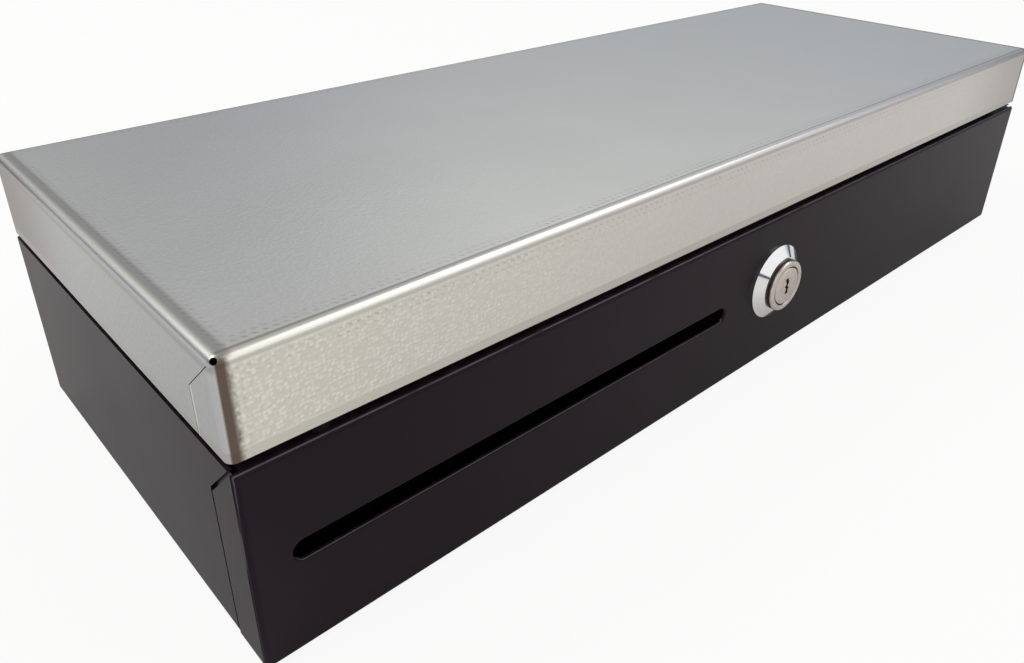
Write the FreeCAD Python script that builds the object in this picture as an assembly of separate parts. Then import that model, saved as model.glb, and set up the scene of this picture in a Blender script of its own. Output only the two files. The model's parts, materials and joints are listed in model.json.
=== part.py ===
import FreeCAD, Part
import math
import os

# A flip top cash drawer: a black steel box with a hinged stainless lid, a cam lock with a sprung
# latch and a pull solenoid behind the front, and trays for coins and upright notes inside.
# X runs along the front, +Y to the rear, Z up. Millimetres. The floor is at z = 0, and the origin
# is the middle of the whole outline at the floor. Places across the box are given as a depth
# behind the front face, which at() turns into Y. The mechanism is drawn with the latch drawn back.

V = FreeCAD.Vector

# Overall size
width = 460.0
depth = 170.0
height = 100.0

# Steel box
steel = 1.2                   # sheet thickness
bend = 1.8                    # outer radius of a fold
front_bottom = 1.6            # height of the front panel's lower edge above the floor
front_gap = 3.0               # gaps below the lid's rim: at the front panel,
side_gap = 2.4                # at the side walls
rear_gap = 3.5                # and at the rear wall
front_flange = 10.0           # depth of the flange along the top of the front panel
tab_depth = 15.0              # the front panel wraps round the sides by this much
tab_drop = 13.7               # the tab's rear edge turns into its slope this far below the top
seam = 0.7                    # open seam between the tab and the side wall
tongue_lap = 8.0              # the tongue behind the seam laps the side wall by this much
hem = 7.0                     # folded edge along the top of the side walls
touch = 0.15                  # working gap where two pieces bear on each other

# Media slot in the front panel
slot_inset = 12.0             # from the box's left side to the slot
slot_length = 185.0
slot_height = 6.4
slot_lift = 1.0               # the slot's and the lock's height above the panel's middle

# Rubber feet
foot_radius = 6.5
foot_inset = 34.0             # from the box's sides and ends to a foot's centre
foot_chamfer = 0.4

# Stainless lid
lid_steel = 1.0
lid_bend = 2.6
lid_flange = 29.0             # height of the lid's rim
lid_inset = 0.5               # the lid's front stands this far behind the front panel's face
lid_lip = 9.0                 # lip turned in along the bottom of the lid's front
lid_tab = 16.0                # the lid's front wraps round its sides by this much
lid_tab_slope = 14.5          # height of the sloped part of that seam
lid_seam = 0.25
corner_hole = 0.9             # radius of the relief hole at the two front corners

# Lid stiffener and striker
stiffener_length = 300.0
stiffener_width = 18.0
stiffener_height = 5.0
stiffener_side = 4.0          # width of each of its two welding flanges
sheet = 1.5                   # thickness of brackets
striker_x = 38.0              # left face of the striker plate
striker_thick = 2.0
striker_front = 6.0           # its reach in front of the latch's middle plane
striker_back = 6.5            # and behind it
striker_bridge = 4.0          # height of the bar below the striker's window
striker_foot = 18.0           # length of its welding flange
window_half = 3.0

# Lid hinge
hinge_back = 7.0              # from the rear face forward to the hinge axis
hinge_rise = 14.5             # height of the hinge axis above the rear wall
open_angle = 100.0
pin_radius = 2.5
running = 0.05                # radial clearance of a turning or sliding fit
ear_gap = 0.3                 # clearance between an ear and the lug beside it
ear_sheet = 2.0
ear_inset = 4.5               # from the box's side to the outer face of the outer ear
bracket_width = 21.5          # over both ears
ear_nose = 5.0
lug_nose = 5.5
ear_depth = 13.5              # how far the ears reach forward of the rear wall
bracket_bottom = 30.0
bracket_drop = 1.5            # the bracket's web ends this far below the rear wall's top
stop_reach = 9.5              # radius of the lid's stop toe
stop_start = 6.6              # inner radius of the stop tab
toe_angle = 280.0             # direction of the stop toe with the lid closed
toe_half = 8.0                # half angles of the toe and of the tab
tab_half = 6.0
stop_spare = 1.0              # angle left between them when the lid is open
lobe_radius = 3.2
pin_head = 2.0
pin_head_radius = 4.0
notch_side = 1.0              # clearance of the notch in the lid's rear rim beside the bracket
notch_height = 19.0
lid_bracket_front = 12.5      # how far the lid bracket reaches in front of the axis

# Hinge springs
spring_wire = 1.3
spring_turns = 5
spring_pitch = 1.73
spring_leg_angle = 28.0       # where on the coil the moving leg leaves it
spring_fixed_leg = 22.0

# Cam lock
lock_lift = 4.1
lock_proud = 6.2              # the lock's head stands this far in front of the panel
bezel_radius = 15.8
bezel_edge = 0.8
bezel_top_radius = 11.5
bezel_proud = 3.6
head_radius = 10.9
head_thick = 2.5
head_chamfer = 0.4
body_radius = 9.5
body_length = 24.5            # from the front face to the rear end of the lock body
body_flat = 8.0               # half the width over the two flats of the body
plug_radius = 7.9
plug_lip = 2.4                # depth of the plug's wide front
plug_core = 5.5
key_height = 8.0
key_width = 1.3
key_depth = 17.0
key_step = 0.7                # sideways steps of the keyhole's profile
key_tilt = 8.0
nut_flats = 24.0
nut_thick = 4.0
tail_half = 3.0               # half the width of the plug's square tail
cam_thick = 2.0
cam_hub = 7.0
cam_length = 20.0
cam_half = 3.6
cam_screw_radius = 4.2
cam_screw_head = 2.4

# Latch
latch_x = 30.0                # the latch's pivot
latch_drop = 2.9              # the pivot's height below the lock's axis
latch_mid = 23.0              # depth of the latch plate's middle behind the front face
latch_thick = 2.0
latch_hub = 6.0
latch_pin = 3.0
pin_reach = 2.5               # the pivot pin reaches this far in front of the latch
clip_thick = 1.0
clip_mouth = 2.4              # half the clip's open side
latch_travel = 18.0           # degrees between drawn back and latched
beak_height = 5.0
beak_clear = 0.45             # clearance of the drawn back beak below the cover
beak_tip = 14.0               # reach of the beak's tip beside the pivot when latched
beak_slope = 8.0              # where the beak's sloped back starts
arm_half = 4.0
bridge_gap = 0.9              # clearance between the beak and the striker's bridge
stud_radius = 2.0
stud_x = 17.0                 # the stud that the lock's cam presses
link_drop = 14.0              # the link pin below the latch's pivot
link_radius = 1.5
pad_length = 8.0              # foot of the latch that the coil spring lifts
pad_depth = 7.0
pad_drop = 4.6                # the foot's underside below the stud

# Latch spring
coil_wire = 0.8
coil_radius = 2.6
coil_turns = 6
coil_closing = 0.35           # how much closer the end turns lie than the middle ones

# Mechanism bracket
plate_depth = 31.0            # front face of the upright plate behind the front face
plate_left = -26.0
plate_right = 79.0
plate_drop = 3.4              # its upper edge below the cover
wing_front = 3.0              # where the bracket's left wing starts behind the front face
sole_front = 13.0             # and where its floor flange starts

# Solenoid
solenoid_x = 42.0             # left end of the frame
solenoid_length = 32.0
frame_sheet = 1.6
frame_half = 8.0
frame_tall = 10.0
winding_deep = 6.0            # half the depth and height of the winding, and of the bobbin's ends
winding_tall = 8.2
winding_corner = 4.0
bobbin_end = 1.2
bobbin_tall = 9.2
plunger_radius = 4.0
plunger_in = 26.0             # how deep the plunger lies in the coil
fork_slot = 2.3
fork_reach = 5.0              # from the link pin to the bottom of the fork
fork_nose = 4.0               # from the link pin to the fork's tip

# Lid switch
switch_x = 34.5               # left end of the switch
switch_length = 18.0
switch_tall = 10.0
switch_thick = 6.4
button_radius = 1.3
button_height = 1.4
button_stem = 3.0
button_travel = 0.8
terminal_length = 3.2
terminal_half = 1.0
terminal_thick = 0.5
terminal_count = 3

# Cover over the mechanism
cover_side = 2.8              # gap between its legs and the side walls
cover_front = 6.0             # depth of its front edge, under the front panel's flange
cover_back = 33.9
cover_lip = 8.0
cover_leg_front = 12.0
cover_slot = 3.2              # clearance of its slot round the striker

# Socket for the control lead
socket_x = 150.0
socket_half = 7.7
socket_tall = 13.4
socket_length = 14.0
socket_base = 9.0             # height of the socket's underside above the floor
mouth_half = 4.9
mouth_tall = 6.8
mouth_depth = 11.0
mouth_floor = 2.2             # plastic below the mouth
mouth_key_half = 1.7
mouth_key_tall = 2.2
socket_frame = 1.0            # the hole in the rear wall is this much wider than the mouth
board_thick = 1.6
board_half = 15.0
board_depth = 14.0
post_radius = 2.5
post_x = 11.5                 # posts beside the socket's middle

# Trays
plastic = 1.8
tray_side_gap = 2.4           # between the trays and the side walls
tray_drop = 2.0               # the trays' rims below the front panel's upper edge
coin_start = 34.5             # depth of the coin tray's front wall
coin_cups = 8
deck_gap = 0.4                # from the slot's upper edge to the underside of the coin deck
note_start = 96.6
note_back = 16.2              # from the rear face forward to the note tray
note_floor = 9.5              # underside of the note wells
note_columns = 3
note_rows = 2
well_corner = 3.0
scallop_radius = 21.0
scallop_drop = 17.0           # depth of the finger scallops in the note wells' walls
leg_thick = 2.4
tray_gap = 0.3
deck_legs = 5

# Coin cups
cup_height = 26.0
cup_wall = 1.5
cup_gap = 1.2                 # between two cups
cup_end_gap = 0.8             # between the cups and the tray's walls
cup_scoop = 8.0
cup_corner = 3.0
cup_notch = 9.0               # radius of the finger notch in the cups' rear wall

# Rubber pads under the lid's front
bumper_radius = 3.6
bumper_inset = 25.0           # from the box's side to a pad's centre

# Fasteners
screw_radius = 1.5
screw_head = 2.8
screw_head_tall = 1.4
hole_gap = 0.1

# Derived places
front_y = -(depth - lock_proud) / 2
rear_y = front_y + depth
half = width / 2
tub_z = front_bottom + steel              # underside of the tub, on the panel's lower flange
inside_z = tub_z + steel                  # upper face of the tub's floor
side_in = half - steel
rear_in = rear_y - steel
lid_bottom = height - lid_flange
lid_under = height - lid_steel
front_top = lid_bottom - front_gap
side_top = lid_bottom - side_gap
rear_top = lid_bottom - rear_gap
tab_rise = front_top - tab_drop
ear_x = half - ear_inset
bracket_top = rear_top - bracket_drop
cover_top = front_top - steel - touch
cover_under = cover_top - steel
cover_half = side_in - cover_side
plate_top = cover_under - plate_drop
tray_side = side_in - tray_side_gap
tray_top = front_top - tray_drop
note_end = depth - note_back
panel_middle = (front_bottom + front_top) / 2
slot_z = panel_middle + slot_lift
lock_z = panel_middle + lock_lift
deck_z = slot_z + slot_height / 2 + deck_gap
latch_z = lock_z - latch_drop
hinge_y = rear_y - hinge_back
hinge_z = rear_top + hinge_rise
ear_in = ear_x - bracket_width
slot_x = slot_inset - half
latch_front = latch_mid - latch_thick / 2
latch_back = latch_mid + latch_thick / 2
beak_outer = cover_under - beak_clear - latch_z
beak_inner = beak_outer - beak_height
stud_z = lock_z - cam_half - touch - stud_radius
pad_z = stud_z - pad_drop
cam_front = body_length + 2 * touch
cam_back = cam_front + cam_thick
link_z = latch_z - link_drop
sole_z = inside_z + sheet
coin_end = note_start - tray_gap
cup_z = deck_z + plastic
mouth_z = socket_base + mouth_floor


def at(d):
    """Y of a place at depth d behind the front panel's face."""
    return front_y + d


def box(x0, x1, y0, y1, z0, z1):
    return Part.makeBox(x1 - x0, y1 - y0, z1 - z0, V(x0, y0, z0))


def rod(radius, start, end):
    """Cylinder from one point to another."""
    way = end - start
    return Part.makeCylinder(radius, way.Length, start, way)


def rod_x(radius, y, z, x0, x1):
    return rod(radius, V(x0, y, z), V(x1, y, z))


def rod_y(radius, x, z, d0, d1):
    """Cylinder along Y between two depths behind the front face."""
    return rod(radius, V(x, at(d0), z), V(x, at(d1), z))


def rod_z(radius, x, y, z0, z1):
    return rod(radius, V(x, y, z0), V(x, y, z1))


def plate_x(points, x0, x1):
    """Plate with an outline of (y, z) points, between two X."""
    wire = Part.makePolygon([V(x0, y, z) for y, z in points + points[:1]])
    return Part.Face(wire).extrude(V(x1 - x0, 0, 0))


def plate_y(points, d0, d1):
    """Plate with an outline of (x, z) points, between two depths."""
    wire = Part.makePolygon([V(x, at(d0), z) for x, z in points + points[:1]])
    return Part.Face(wire).extrude(V(0, d1 - d0, 0))


def bar_y(x0, z0, x1, z1, half_width, d0, d1):
    """Flat bar with round ends from one point to another, seen from the front."""
    run = V(x1 - x0, 0, z1 - z0)
    side = V(-run.z, 0, run.x).normalize() * half_width
    corners = [V(x0, at(d0), z0) + side, V(x1, at(d0), z1) + side,
               V(x1, at(d0), z1) - side, V(x0, at(d0), z0) - side]
    middle = Part.Face(Part.makePolygon(corners + corners[:1])).extrude(V(0, d1 - d0, 0))
    return joined(middle, rod_y(half_width, x0, z0, d0, d1), rod_y(half_width, x1, z1, d0, d1))


def joined(first, *others):
    return first.fuse(list(others)).removeSplitter()


def both(shape):
    """A piece and its mirror image on the left, as one shape."""
    return Part.makeCompound([shape, mirrored(shape)])


def mirrored(shape):
    return shape.mirror(V(0, 0, 0), V(1, 0, 0))


def near(a, b):
    return abs(a - b) < 1e-4


def edges_where(shape, test):
    """Edges whose two ends both pass a test."""
    return [e for e in shape.Edges if all(test(v.Point) for v in e.Vertexes)]


def runs_along(edge, axis):
    return near(abs(edge.tangentAt(edge.FirstParameter).dot(axis)), 1)


def turned_y(shape, x, z, degrees):
    """Turn a copy about an axis along +Y through x, z."""
    copy = shape.copy()
    copy.rotate(V(x, 0, z), V(0, 1, 0), degrees)
    return copy


def upright_rounded(x0, x1, y0, y1, z0, z1, radius):
    """Box with its four upright edges rounded."""
    plain = box(x0, x1, y0, y1, z0, z1)
    return plain.makeFillet(radius, [e for e in plain.Edges if runs_along(e, V(0, 0, 1))])


def hexagon(radius):
    """Corners of a hexagon about the origin."""
    turns = [math.pi * k / 3 for k in range(6)]
    return [(radius * math.cos(a), radius * math.sin(a)) for a in turns]


def slot_y(x0, x1, z, tall, d0, d1):
    """Slot with round ends, along Y."""
    return bar_y(x0 + tall / 2, z, x1 - tall / 2, z, tall / 2, d0, d1)


# Steel box

def tab_slope(d, gap=0.0):
    """Height of the tab's sloped upper edge at depth d, with a gap square to the slope."""
    return tab_rise + tab_depth - d + gap * math.sqrt(2)


def tab_cutter(d0, d1, gap):
    """Wedges above the sloped edge of both tabs, outside the tongues."""
    points = [(at(d0), tab_slope(d0, gap)), (at(d1), tab_slope(d1, gap)), (at(d1), height),
              (at(d0), height)]
    return both(plate_x(points, side_in - steel - touch, half + bend))


def lock_hole(clearance):
    """Round hole with two flats for the lock body."""
    round_hole = rod_y(body_radius + clearance, 0, lock_z, -bend, bend)
    flat = body_flat + clearance
    return round_hole.common(box(-flat, flat, at(-bend), at(bend), 0, height))


def front_panel():
    """Front with its flanges at top and bottom and a tab round each side."""
    outer = box(-half, half, front_y, at(tab_depth), front_bottom, front_top)
    front_edges = edges_where(outer, lambda p: near(p.y, front_y))
    low_sides = [e for e in edges_where(outer, lambda p: near(p.z, front_bottom))
                 if runs_along(e, V(0, 1, 0))]
    outer = outer.makeFillet(bend, front_edges + low_sides)
    inner = box(-side_in, side_in, at(steel), at(tab_depth + bend), tub_z, front_top - steel)
    panel = outer.cut(inner)
    slope_start = tab_rise + tab_depth - front_top
    behind = box(-half - bend, half + bend, at(front_flange), at(tab_depth + bend), front_top - steel,
                 height)
    panel = panel.cut([tab_cutter(slope_start, tab_depth + bend, 0), behind,
                       slot_y(slot_x, slot_x + slot_length, slot_z, slot_height, -bend, bend),
                       lock_hole(hole_gap)])
    return panel


def tub():
    """Floor, side walls and rear wall, folded from one sheet, open at the front."""
    start = steel + touch
    outer = box(-half, half, at(start), rear_y, tub_z, side_top)
    low = [e for e in edges_where(outer, lambda p: near(p.z, tub_z)) if runs_along(e, V(0, 1, 0))]
    low += edges_where(outer, lambda p: near(p.z, tub_z) and near(p.y, rear_y))
    upright = [e for e in edges_where(outer, lambda p: near(p.y, rear_y)) if runs_along(e, V(0, 0, 1))]
    shell = outer.makeFillet(bend, low + upright)
    tabs = [(at(0), 0), (at(tab_depth + seam), 0), (at(tab_depth + seam), tab_slope(tab_depth, seam)),
            (at(0), tab_slope(-seam, seam))]
    shell = shell.cut([box(-side_in, side_in, at(0), rear_in, inside_z, height),
                       box(-side_in + hem, side_in - hem, at(depth / 2), rear_y + bend, rear_top, height),
                       both(plate_x(tabs, side_in, half + bend)),
                       socket_hole()])
    lap = tab_depth + tongue_lap
    edge = box(side_in - steel, side_in, at(lap), rear_in - bend, side_top - hem, side_top)
    tongue = box(side_in - steel, side_in, at(start), at(lap), inside_z, front_top - steel - touch)
    studs = [rod_z(screw_radius, x, at(d), inside_z - steel / 2, sole_z + screw_head_tall + touch)
             for x, d in sole_studs()]
    return joined(shell, edge, mirrored(edge), tongue, mirrored(tongue), *studs)


def sole_studs():
    """Places of the weld studs that hold the mechanism bracket to the floor."""
    d = sole_front + screw_head + sheet
    inset = 2 * screw_head
    return [(plate_left + 2 * inset, d), (solenoid_x - inset, d), (plate_right - inset, d)]


def socket_hole():
    side = mouth_half + socket_frame
    return box(socket_x - side, socket_x + side, rear_in - bend, rear_y + bend,
               mouth_z - mouth_key_tall - socket_frame, mouth_z + mouth_tall + socket_frame)


def rubber_foot(x_side, y_side):
    x = x_side * (half - foot_inset)
    y = at(foot_inset) if y_side < 0 else rear_y - foot_inset
    foot = rod_z(foot_radius, x, y, 0, tub_z)
    return foot.makeChamfer(foot_chamfer, edges_where(foot, lambda p: near(p.z, 0)))


# Lid

def lid_shell():
    """Folded lid with a rim all round, its front wrapped round both sides."""
    lid = lid_block(0, lid_bottom).cut(lid_block(lid_steel, lid_bottom - lid_steel))
    front = at(lid_inset)
    lip = box(-half + lid_bend, half - lid_bend, front + lid_steel / 2, front + lid_lip,
              lid_bottom, lid_bottom + lid_steel)
    lid = joined(lid, lip)
    notch = box(ear_in - notch_side, ear_x + notch_side, rear_y - lid_bend - lid_steel, rear_y + bend,
                lid_bottom - bend, lid_bottom + notch_height)
    corner = V(half, front, height)
    inward = V(-1, 1, -1)
    relief = rod(corner_hole, corner - inward, corner + inward * lid_bend)
    return lid.cut([both(notch), both(lid_side_seam()), both(relief)])


def lid_block(inset, z0):
    """The lid's outer or inner form, with its top and upright edges rounded."""
    block = box(-half + inset, half - inset, at(lid_inset) + inset, rear_y - inset, z0, height - inset)
    edges = [e for e in block.Edges if not all(near(v.Point.z, z0) for v in e.Vertexes)]
    return block.makeFillet(lid_bend - inset, edges)


def lid_side_seam():
    """Fine seam behind the wrapped front, upright and then sloped to the corner."""
    back = at(lid_inset) + lid_tab
    front = at(lid_inset) + lid_bend
    knee = height - lid_tab_slope
    w = lid_seam / 2
    top = height - lid_bend
    upright = plate_x([(back - w, 0), (back + w, 0), (back + w, knee), (back - w, knee)],
                      half - 2 * lid_steel, half + bend)
    s = w * math.sqrt(2)
    slope = plate_x([(back - s, knee), (back + s, knee), (front + s, top), (front - s, top)],
                    half - 2 * lid_steel, half + bend)
    return upright.fuse(slope)


def lid_stiffener():
    """Hat section welded under the lid's front, which carries the striker."""
    y0 = at(latch_mid) - stiffener_width / 2
    y1 = at(latch_mid) + stiffener_width / 2
    s = stiffener_side
    t = lid_steel
    crown = lid_under - stiffener_height
    points = [(y0, lid_under), (y0, lid_under - t), (y0 + s, lid_under - t), (y0 + s, crown),
              (y1 - s, crown), (y1 - s, lid_under - t), (y1, lid_under - t), (y1, lid_under),
              (y1 - s - t, lid_under), (y1 - s - t, crown + t), (y0 + s + t, crown + t),
              (y0 + s + t, lid_under)]
    return plate_x(points, -stiffener_length / 2, stiffener_length / 2)


def bridge_top():
    """Height of the bar under the striker's window, just clear of the latched beak."""
    reach = striker_x + striker_thick - latch_x
    return latch_z + math.sqrt(beak_inner ** 2 - reach ** 2) - bridge_gap


def striker_plate():
    """Plate with a window for the latch's beak, and a welding flange on the stiffener."""
    crown = lid_under - stiffener_height
    y0 = at(latch_mid - striker_front)
    y1 = at(latch_mid + striker_back)
    low = bridge_top() - striker_bridge
    upright = box(striker_x, striker_x + striker_thick, y0, y1, low, crown)
    lower = [e for e in edges_where(upright, lambda p: near(p.z, low)) if runs_along(e, V(1, 0, 0))]
    upright = upright.makeFillet(striker_thick / 2, lower)
    flange = box(striker_x, striker_x + striker_foot, y0, y1, crown - striker_thick, crown)
    window = box(striker_x - 1, striker_x + striker_thick + 1, at(latch_mid - window_half),
                 at(latch_mid + window_half), bridge_top(), latch_z + beak_outer + 2 * bridge_gap)
    return joined(upright, flange).cut(window)


def lid_bumper(side):
    """Rubber pad between the front panel's flange and the lid's lip."""
    y = at(lid_inset + lid_lip / 2)
    return rod_z(bumper_radius, side * (half - bumper_inset), y, front_top, lid_bottom)


# Lid hinge

def polar(radius, degrees):
    """Y and Z offset from the hinge axis at an angle from the rear, upwards."""
    a = math.radians(degrees)
    return radius * math.cos(a), radius * math.sin(a)


def hinge_sector(angle, half_angle, r0, r1, x0, x1):
    """Block between two radii about the hinge axis."""
    corners = [polar(r0, angle - half_angle), polar(r1, angle - half_angle),
               polar(r1, angle + half_angle), polar(r0, angle + half_angle)]
    return plate_x([(hinge_y + y, hinge_z + z) for y, z in corners], x0, x1)


def ear(x0, x1):
    """Ear of the hinge bracket, with a round nose about the pin."""
    front = rear_in - ear_depth
    back = hinge_y + ear_nose
    points = [(rear_in, bracket_bottom), (rear_in, bracket_top), (back, bracket_top + ear_nose / 2),
              (back, hinge_z), (hinge_y - ear_nose, hinge_z), (front, bracket_top), (front, bracket_bottom)]
    return joined(plate_x(points, x0, x1), rod_x(ear_nose, hinge_y, hinge_z, x0, x1))


def stop_angle():
    """Direction of the stop tab, which the lid's toe meets at the end of its swing."""
    return toe_angle - open_angle - toe_half - tab_half - stop_spare


def hinge_bracket():
    """Base half of the right hinge: two ears on a web that is welded to the rear wall."""
    web = box(ear_in, ear_x, rear_in - sheet, rear_in, bracket_bottom, bracket_top)
    outer = ear(ear_x - ear_sheet, ear_x)
    inner = ear(ear_in, ear_in + ear_sheet)
    y, z = polar(stop_reach - lobe_radius, stop_angle())
    lobe = rod_x(lobe_radius, hinge_y + y, hinge_z + z, ear_x - ear_sheet, ear_x)
    tab_x = ear_x - 2 * ear_sheet - ear_gap
    tab = hinge_sector(stop_angle(), tab_half, stop_start, stop_reach, tab_x, ear_x)
    bracket = joined(web, outer, inner, lobe, tab)
    return bracket.cut(rod_x(pin_radius, hinge_y, hinge_z, ear_in - 1, ear_x + 1))


def hinge_pin():
    """Headed pin, spread at its inner end."""
    shank = rod_x(pin_radius, hinge_y, hinge_z, ear_in - 1, ear_x)
    head = rod_x(pin_head_radius, hinge_y, hinge_z, ear_x, ear_x + pin_head)
    spread = rod_x(pin_radius + 1, hinge_y, hinge_z, ear_in - 1, ear_in)
    pin = joined(shank, head, spread)
    rim = edges_where(pin, lambda p: near(p.x, ear_x + pin_head))
    return pin.makeFillet(pin_head / 2, rim)


def lug_places():
    """X ranges of the lid bracket's outer and inner lug."""
    outer = ear_x - ear_sheet - ear_gap
    inner = ear_in + ear_sheet + ear_gap
    return (outer - ear_sheet, outer), (inner, inner + ear_sheet)


def lid_bracket():
    """Lid half of the right hinge: two lugs on a web that is welded under the lid."""
    outer, inner = lug_places()
    front = hinge_y - lid_bracket_front
    rear = rear_y - lid_bend - touch
    web_z = lid_under - sheet
    points = [(front, lid_under), (rear, lid_under), (hinge_y + lug_nose, web_z - touch),
              (hinge_y + lug_nose, hinge_z), (hinge_y - lug_nose, hinge_z),
              (hinge_y - lug_nose, web_z - lug_nose), (front, web_z)]
    lugs = [joined(plate_x(points, *span), rod_x(lug_nose, hinge_y, hinge_z, *span))
            for span in (outer, inner)]
    web = box(inner[0], outer[1], front, rear, web_z, lid_under)
    toe = hinge_sector(toe_angle, toe_half, pin_radius + 1, stop_reach, *outer)
    bracket = joined(web, toe, *lugs)
    return bracket.cut(rod_x(pin_radius + running, hinge_y, hinge_z, ear_in, ear_x))


# Wound springs

def biarc(p0, t0, p1, t1):
    """Two tangent arcs from one point and direction to another."""
    v = p1 - p0
    t = t0 + t1
    lean = 2 * (1 - t0.dot(t1))
    reach = (math.sqrt(v.dot(t) ** 2 + lean * v.dot(v)) - v.dot(t)) / lean
    q0 = p0 + t0 * reach
    q1 = p1 - t1 * reach
    middle = (q0 + q1) * 0.5
    return [arc_by_corner(p0, q0, middle), arc_by_corner(middle, q1, p1)]


def arc_by_corner(a, corner, b):
    """Arc from a to b whose end tangents meet at the corner."""
    m = (a + b) * 0.5
    rise = (corner - m).Length
    chord = (a - m).Length
    sag = chord * math.tan(math.atan2(rise, chord) / 2)
    return Part.Arc(a, m + (corner - m) * (sag / rise), b).toShape()


def wound_tube(edges, wire_radius, start, way):
    """Round wire along a chain of edges."""
    ring = Part.Wire(Part.makeCircle(wire_radius, start, way))
    return Part.Wire(edges).makePipeShell([ring], True, False)


def coil_edges(point, tangent, turns):
    """Biarcs of half a turn along a curve that is given by its turn number."""
    steps = [i / 2 for i in range(int(turns * 2) + 1)]
    if turns > steps[-1]:
        steps.append(turns)
    edges = []
    for a, b in zip(steps, steps[1:]):
        edges += biarc(point(a), tangent(a), point(b), tangent(b))
    return edges


def least_gap(point, turns, wire):
    """Least gap of a coil to its own next turns, measured on points along it."""
    count = 48
    places = [point(i / count) for i in range(int(turns * count) + 1)]
    apart = count * 3 // 4
    least = min((a - b).Length for i, a in enumerate(places) for b in places[i + apart:])
    return least - wire


def hinge_spring():
    """Right torsion spring round the hinge pin, between the bracket's web and the lid's bracket."""
    r = hinge_back - steel - sheet - spring_wire / 2 - touch
    turns = spring_turns + spring_leg_angle / 360

    def point(n):
        a = 2 * math.pi * n
        return V(spring_pitch * n, hinge_y + r * math.cos(a), hinge_z + r * math.sin(a))

    def tangent(n):
        a = 2 * math.pi * n
        return V(spring_pitch, -2 * math.pi * r * math.sin(a), 2 * math.pi * r * math.cos(a)).normalize()

    leave = tangent(turns)
    end_z = lid_under - sheet - touch - spring_wire / 2
    tip = point(turns) + leave * ((end_z - point(turns).z) / leave.z)
    foot = point(0) - tangent(0) * spring_fixed_leg
    edges = [Part.makeLine(foot, point(0))] + coil_edges(point, tangent, turns)
    edges.append(Part.makeLine(point(turns), tip))
    spring = wound_tube(edges, spring_wire / 2, foot, tangent(0))
    outer, inner = lug_places()
    lean = tip.x - point(turns).x
    spring.translate(V((inner[1] + outer[0] - turns * spring_pitch - lean / 2) / 2, 0, 0))
    print("hinge spring, least gap to itself", round(least_gap(point, turns, spring_wire), 3))
    return spring


def latch_spring():
    """Compression spring that lifts the latch's foot towards the latched place."""
    y = at(latch_back - pad_depth / 2)
    low = sole_z + touch + coil_wire / 2
    tall = pad_z - touch - coil_wire / 2 - low

    def point(n):
        a = 2 * math.pi * n
        u = n / coil_turns
        rise = tall * (u - coil_closing * math.sin(2 * math.pi * u) / (2 * math.pi))
        return V(stud_x + coil_radius * math.cos(a), y + coil_radius * math.sin(a), low + rise)

    def tangent(n):
        a = 2 * math.pi * n
        slope = tall / coil_turns * (1 - coil_closing * math.cos(2 * math.pi * n / coil_turns))
        turn = 2 * math.pi * coil_radius
        return V(-turn * math.sin(a), turn * math.cos(a), slope).normalize()

    print("latch spring, least gap to itself", round(least_gap(point, coil_turns, coil_wire), 3))
    return wound_tube(coil_edges(point, tangent, coil_turns), coil_wire / 2, point(0), tangent(0))


# Cam lock

def turned_profile(points):
    """Body of revolution about the lock's axis from (depth, radius) points."""
    outline = Part.makePolygon([V(r, at(d), lock_z) for d, r in points + points[:1]])
    return Part.Face(outline).revolve(V(0, 0, lock_z), V(0, 1, 0), 360)


def lock_bezel():
    """Coned chrome ring that the lock's head clamps to the panel."""
    bore = body_radius + hole_gap
    return turned_profile([(0, bore), (0, bezel_radius), (-bezel_edge, bezel_radius),
                           (-bezel_proud, bezel_top_radius), (-bezel_proud, bore)])


def lock_body():
    """Flanged lock housing, with two flats and a bore for the plug."""
    back = -lock_proud + head_thick
    head = turned_profile([(-lock_proud, 0), (-lock_proud, head_radius - head_chamfer),
                           (-lock_proud + head_chamfer, head_radius), (back, head_radius), (back, 0)])
    flats = box(-body_flat, body_flat, at(0), at(body_length), 0, height)
    barrel = rod_y(body_radius, 0, lock_z, 0, body_length).common(flats)
    neck = rod_y(body_radius, 0, lock_z, back, 0)
    lip = -lock_proud + plug_lip + touch
    return joined(head, neck, barrel).cut([rod_y(plug_radius + running, 0, lock_z, -lock_proud, lip),
                                           rod_y(plug_core + running, 0, lock_z, 0, body_length + 1),
                                           rod_y(plug_core + running, 0, lock_z, -lock_proud, 1)])


def lock_plug():
    """Turning plug with a stepped keyhole and a square tail for the cam."""
    front = -lock_proud
    plug = joined(rod_y(plug_radius, 0, lock_z, front, front + plug_lip),
                  rod_y(plug_core, 0, lock_z, front, cam_front - touch),
                  box(-tail_half, tail_half, at(0), at(cam_back), lock_z - tail_half, lock_z + tail_half))
    third = key_height / 3
    keyhole = [box(shift - key_width / 2, shift + key_width / 2, at(front - 1), at(front + key_depth),
                   lock_z + low * third, lock_z + (low + 1) * third + key_step / 2)
               for shift, low in ((key_step, 0.5), (-key_step / 2, -0.5), (key_step / 2, -1.5))]
    return plug.cut([turned_y(cut, 0, lock_z, key_tilt) for cut in keyhole])


def lock_nut():
    """Hexagon nut behind the panel."""
    corners = [(x, lock_z + z) for x, z in hexagon(nut_flats / math.sqrt(3))]
    nut = plate_y(corners, steel, steel + nut_thick)
    return nut.cut(rod_y(body_radius + hole_gap, 0, lock_z, 0, steel + nut_thick + 1))


def lock_cam():
    """Cam on the plug's tail, whose finger holds the latch's stud down."""
    tip = cam_length - cam_half
    cam = joined(rod_y(cam_hub, 0, lock_z, cam_front, cam_back),
                 bar_y(0, lock_z, tip, lock_z, cam_half, cam_front, cam_back))
    s = tail_half + running
    return cam.cut(box(-s, s, at(0), at(plate_depth), lock_z - s, lock_z + s))


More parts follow.
